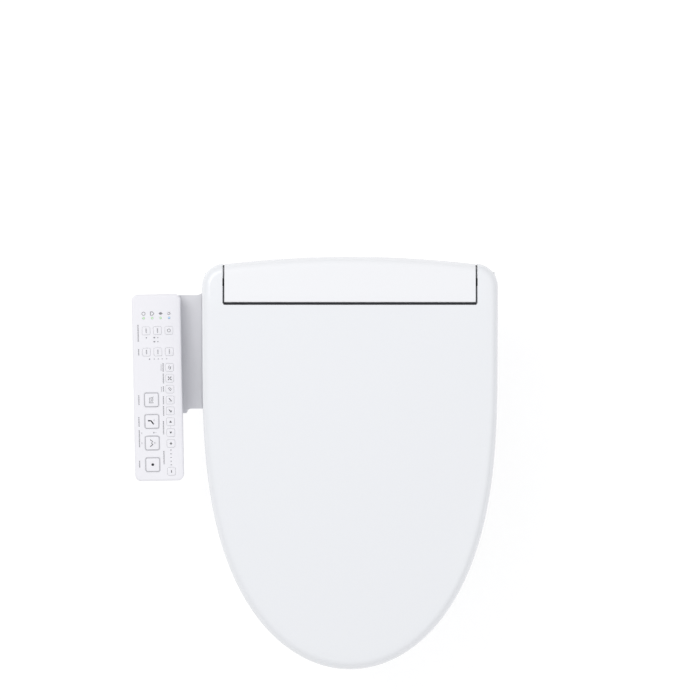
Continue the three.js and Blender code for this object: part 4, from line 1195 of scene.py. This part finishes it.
def build_status_lamps():
    """A clear light pipe with four domed ends, three green and one blue."""
    low, high = -4.5, -2.3
    width = STATUS_X[3] - STATUS_X[0] + 6
    plan = rounded_rectangle(width, 4, 1, sum(STATUS_X) / len(STATUS_X), STATUS_Y)
    pipe = Mesh()
    pipe.add(*loft([at_height(plan, z) for z in (low, high)]))
    dome_base, dome_height, dome_steps = -0.7, 0.6, 6
    profile = [(LAMP_RADIUS, high - 0.2)]
    for step in range(dome_steps):
        angle = math.pi / 2 * step / dome_steps
        profile.append((LAMP_RADIUS * math.cos(angle), dome_base + dome_height * math.sin(angle)))
    for number, x in enumerate(STATUS_X):
        pipe.add(*turned(x, STATUS_Y, profile), 2 if number == 3 else 1)
    pipe.moved(PANEL_FRAME)
    pipe.piece(
        "status_light_pipe", [clear_lens, green_lamp, blue_lamp], "main_unit", "lens", ["status_lens"]
    )


# ---- camera, light, floor

def point_camera():
    """Looks straight down from high over the seat, as a product photograph of its plan does."""
    data = bpy.data.cameras.new("camera")
    data.sensor_width = 36
    data.lens = CAMERA_LENS
    camera = new_object("camera", data)
    camera.location = (0.0, CAMERA_Y, CAMERA_HEIGHT)
    bpy.context.scene.camera = camera


def build_sky():
    """An even white room that is brighter overhead than at the horizon."""
    world = bpy.data.worlds.new("studio")
    world.use_nodes = True
    nodes, link = world.node_tree.nodes, world.node_tree.links.new
    direction = nodes.new("ShaderNodeTexCoord")
    split = nodes.new("ShaderNodeSeparateXYZ")
    link(direction.outputs["Generated"], split.inputs["Vector"])
    strength = nodes.new("ShaderNodeMapRange")
    strength.inputs["To Min"].default_value = SKY_HORIZON
    strength.inputs["To Max"].default_value = SKY_ZENITH
    link(split.outputs["Z"], strength.inputs["Value"])
    background = nodes["Background"].inputs
    background["Color"].default_value = (0.99, 0.99, 1.0, 1)
    link(strength.outputs["Result"], background["Strength"])
    bpy.context.scene.world = world


def light_studio():
    """A broad soft lamp over the rear left and a wider, weaker one over the front right."""
    build_sky()
    for name, place, size, power in (
        ("key", (-1.4, 1.0, 2.6), 1.6, 23),
        ("fill", (1.8, -1.2, 2.4), 2.2, 6),
    ):
        data = bpy.data.lights.new(name, "AREA")
        data.size = size
        data.energy = power
        light = new_object(name, data)
        light.location = place
        aim = Vector((0, -0.15, 0.08)) - light.location
        light.rotation_euler = aim.to_track_quat("-Z", "Y").to_euler()
    bpy.context.scene.view_settings.view_transform = "Standard"


def lay_floor():
    """A white light table."""
    corners = [(x * FLOOR_HALF, y * FLOOR_HALF) for x, y in ((-1, -1), (1, -1), (1, 1), (-1, 1))]
    look = Look("studio_floor")
    look.color(look.noise(3, 2), (0.4, 0.4, 0.4), (0.41, 0.41, 0.412))
    look.roughness(look.noise(40, 3), 0.85, 0.05)
    look.glow((1, 1, 1), TABLE_GLOW)
    mesh = bpy.data.meshes.new("floor")
    mesh.from_pydata([point * MM for point in at_height(corners, FLOOR_Z)], [], [(0, 1, 2, 3)])
    mesh.materials.append(look.material)
    new_object("floor", mesh)


point_camera()
light_studio()
lay_floor()
build_lid()
build_seat_top()
build_seat_bottom()
build_cover()
build_gap_shade_strip()
build_bolt("bolt_left", -BOLT_X)
build_bolt("bolt_right", BOLT_X)
build_panel_face()
build_panel_case()
build_panel_marks()
build_status_lamps()
for button in button_layout():
    build_button(*button)

NODE_LOOKS = {
    unit_white: (["lower_case", "dryer_flap"], 0.7),
    arm_white_painted_shade: (["arm_lower", "arm_upper"], 1.6),
    nozzle_white: (["nozzle_wand"], 0.2),
    grey_plastic: (
        ["release_button", "water_heater_tank", "drain_plug", "nozzle_guide", "nozzle_pinion",
         "fan_wheel"],
        0.3,
    ),
    dark_plastic: (
        ["base_plate", "lid_damper", "seat_damper", "solenoid_valve", "nozzle_motor", "fan_housing",
         "dryer_duct", "power_supply"],
        0.4,
    ),
    grey_rubber: (
        ["lid_bumper_left", "lid_bumper_right", "seat_bumper_front_left", "seat_bumper_front_right",
         "seat_bumper_rear_left", "seat_bumper_rear_right", "cord_gland"],
        0.5,
    ),
    steel: (["fan_motor", "dryer_heater"], 0.3),
    brass: (["water_inlet"], 0.3),
    foil: (["seat_heater"], 0.2),
    green_board: (["main_board", "panel_board"], 0.2),
}
for material, (nodes, width) in NODE_LOOKS.items():
    for node in nodes:
        soften_node(node, material, width)
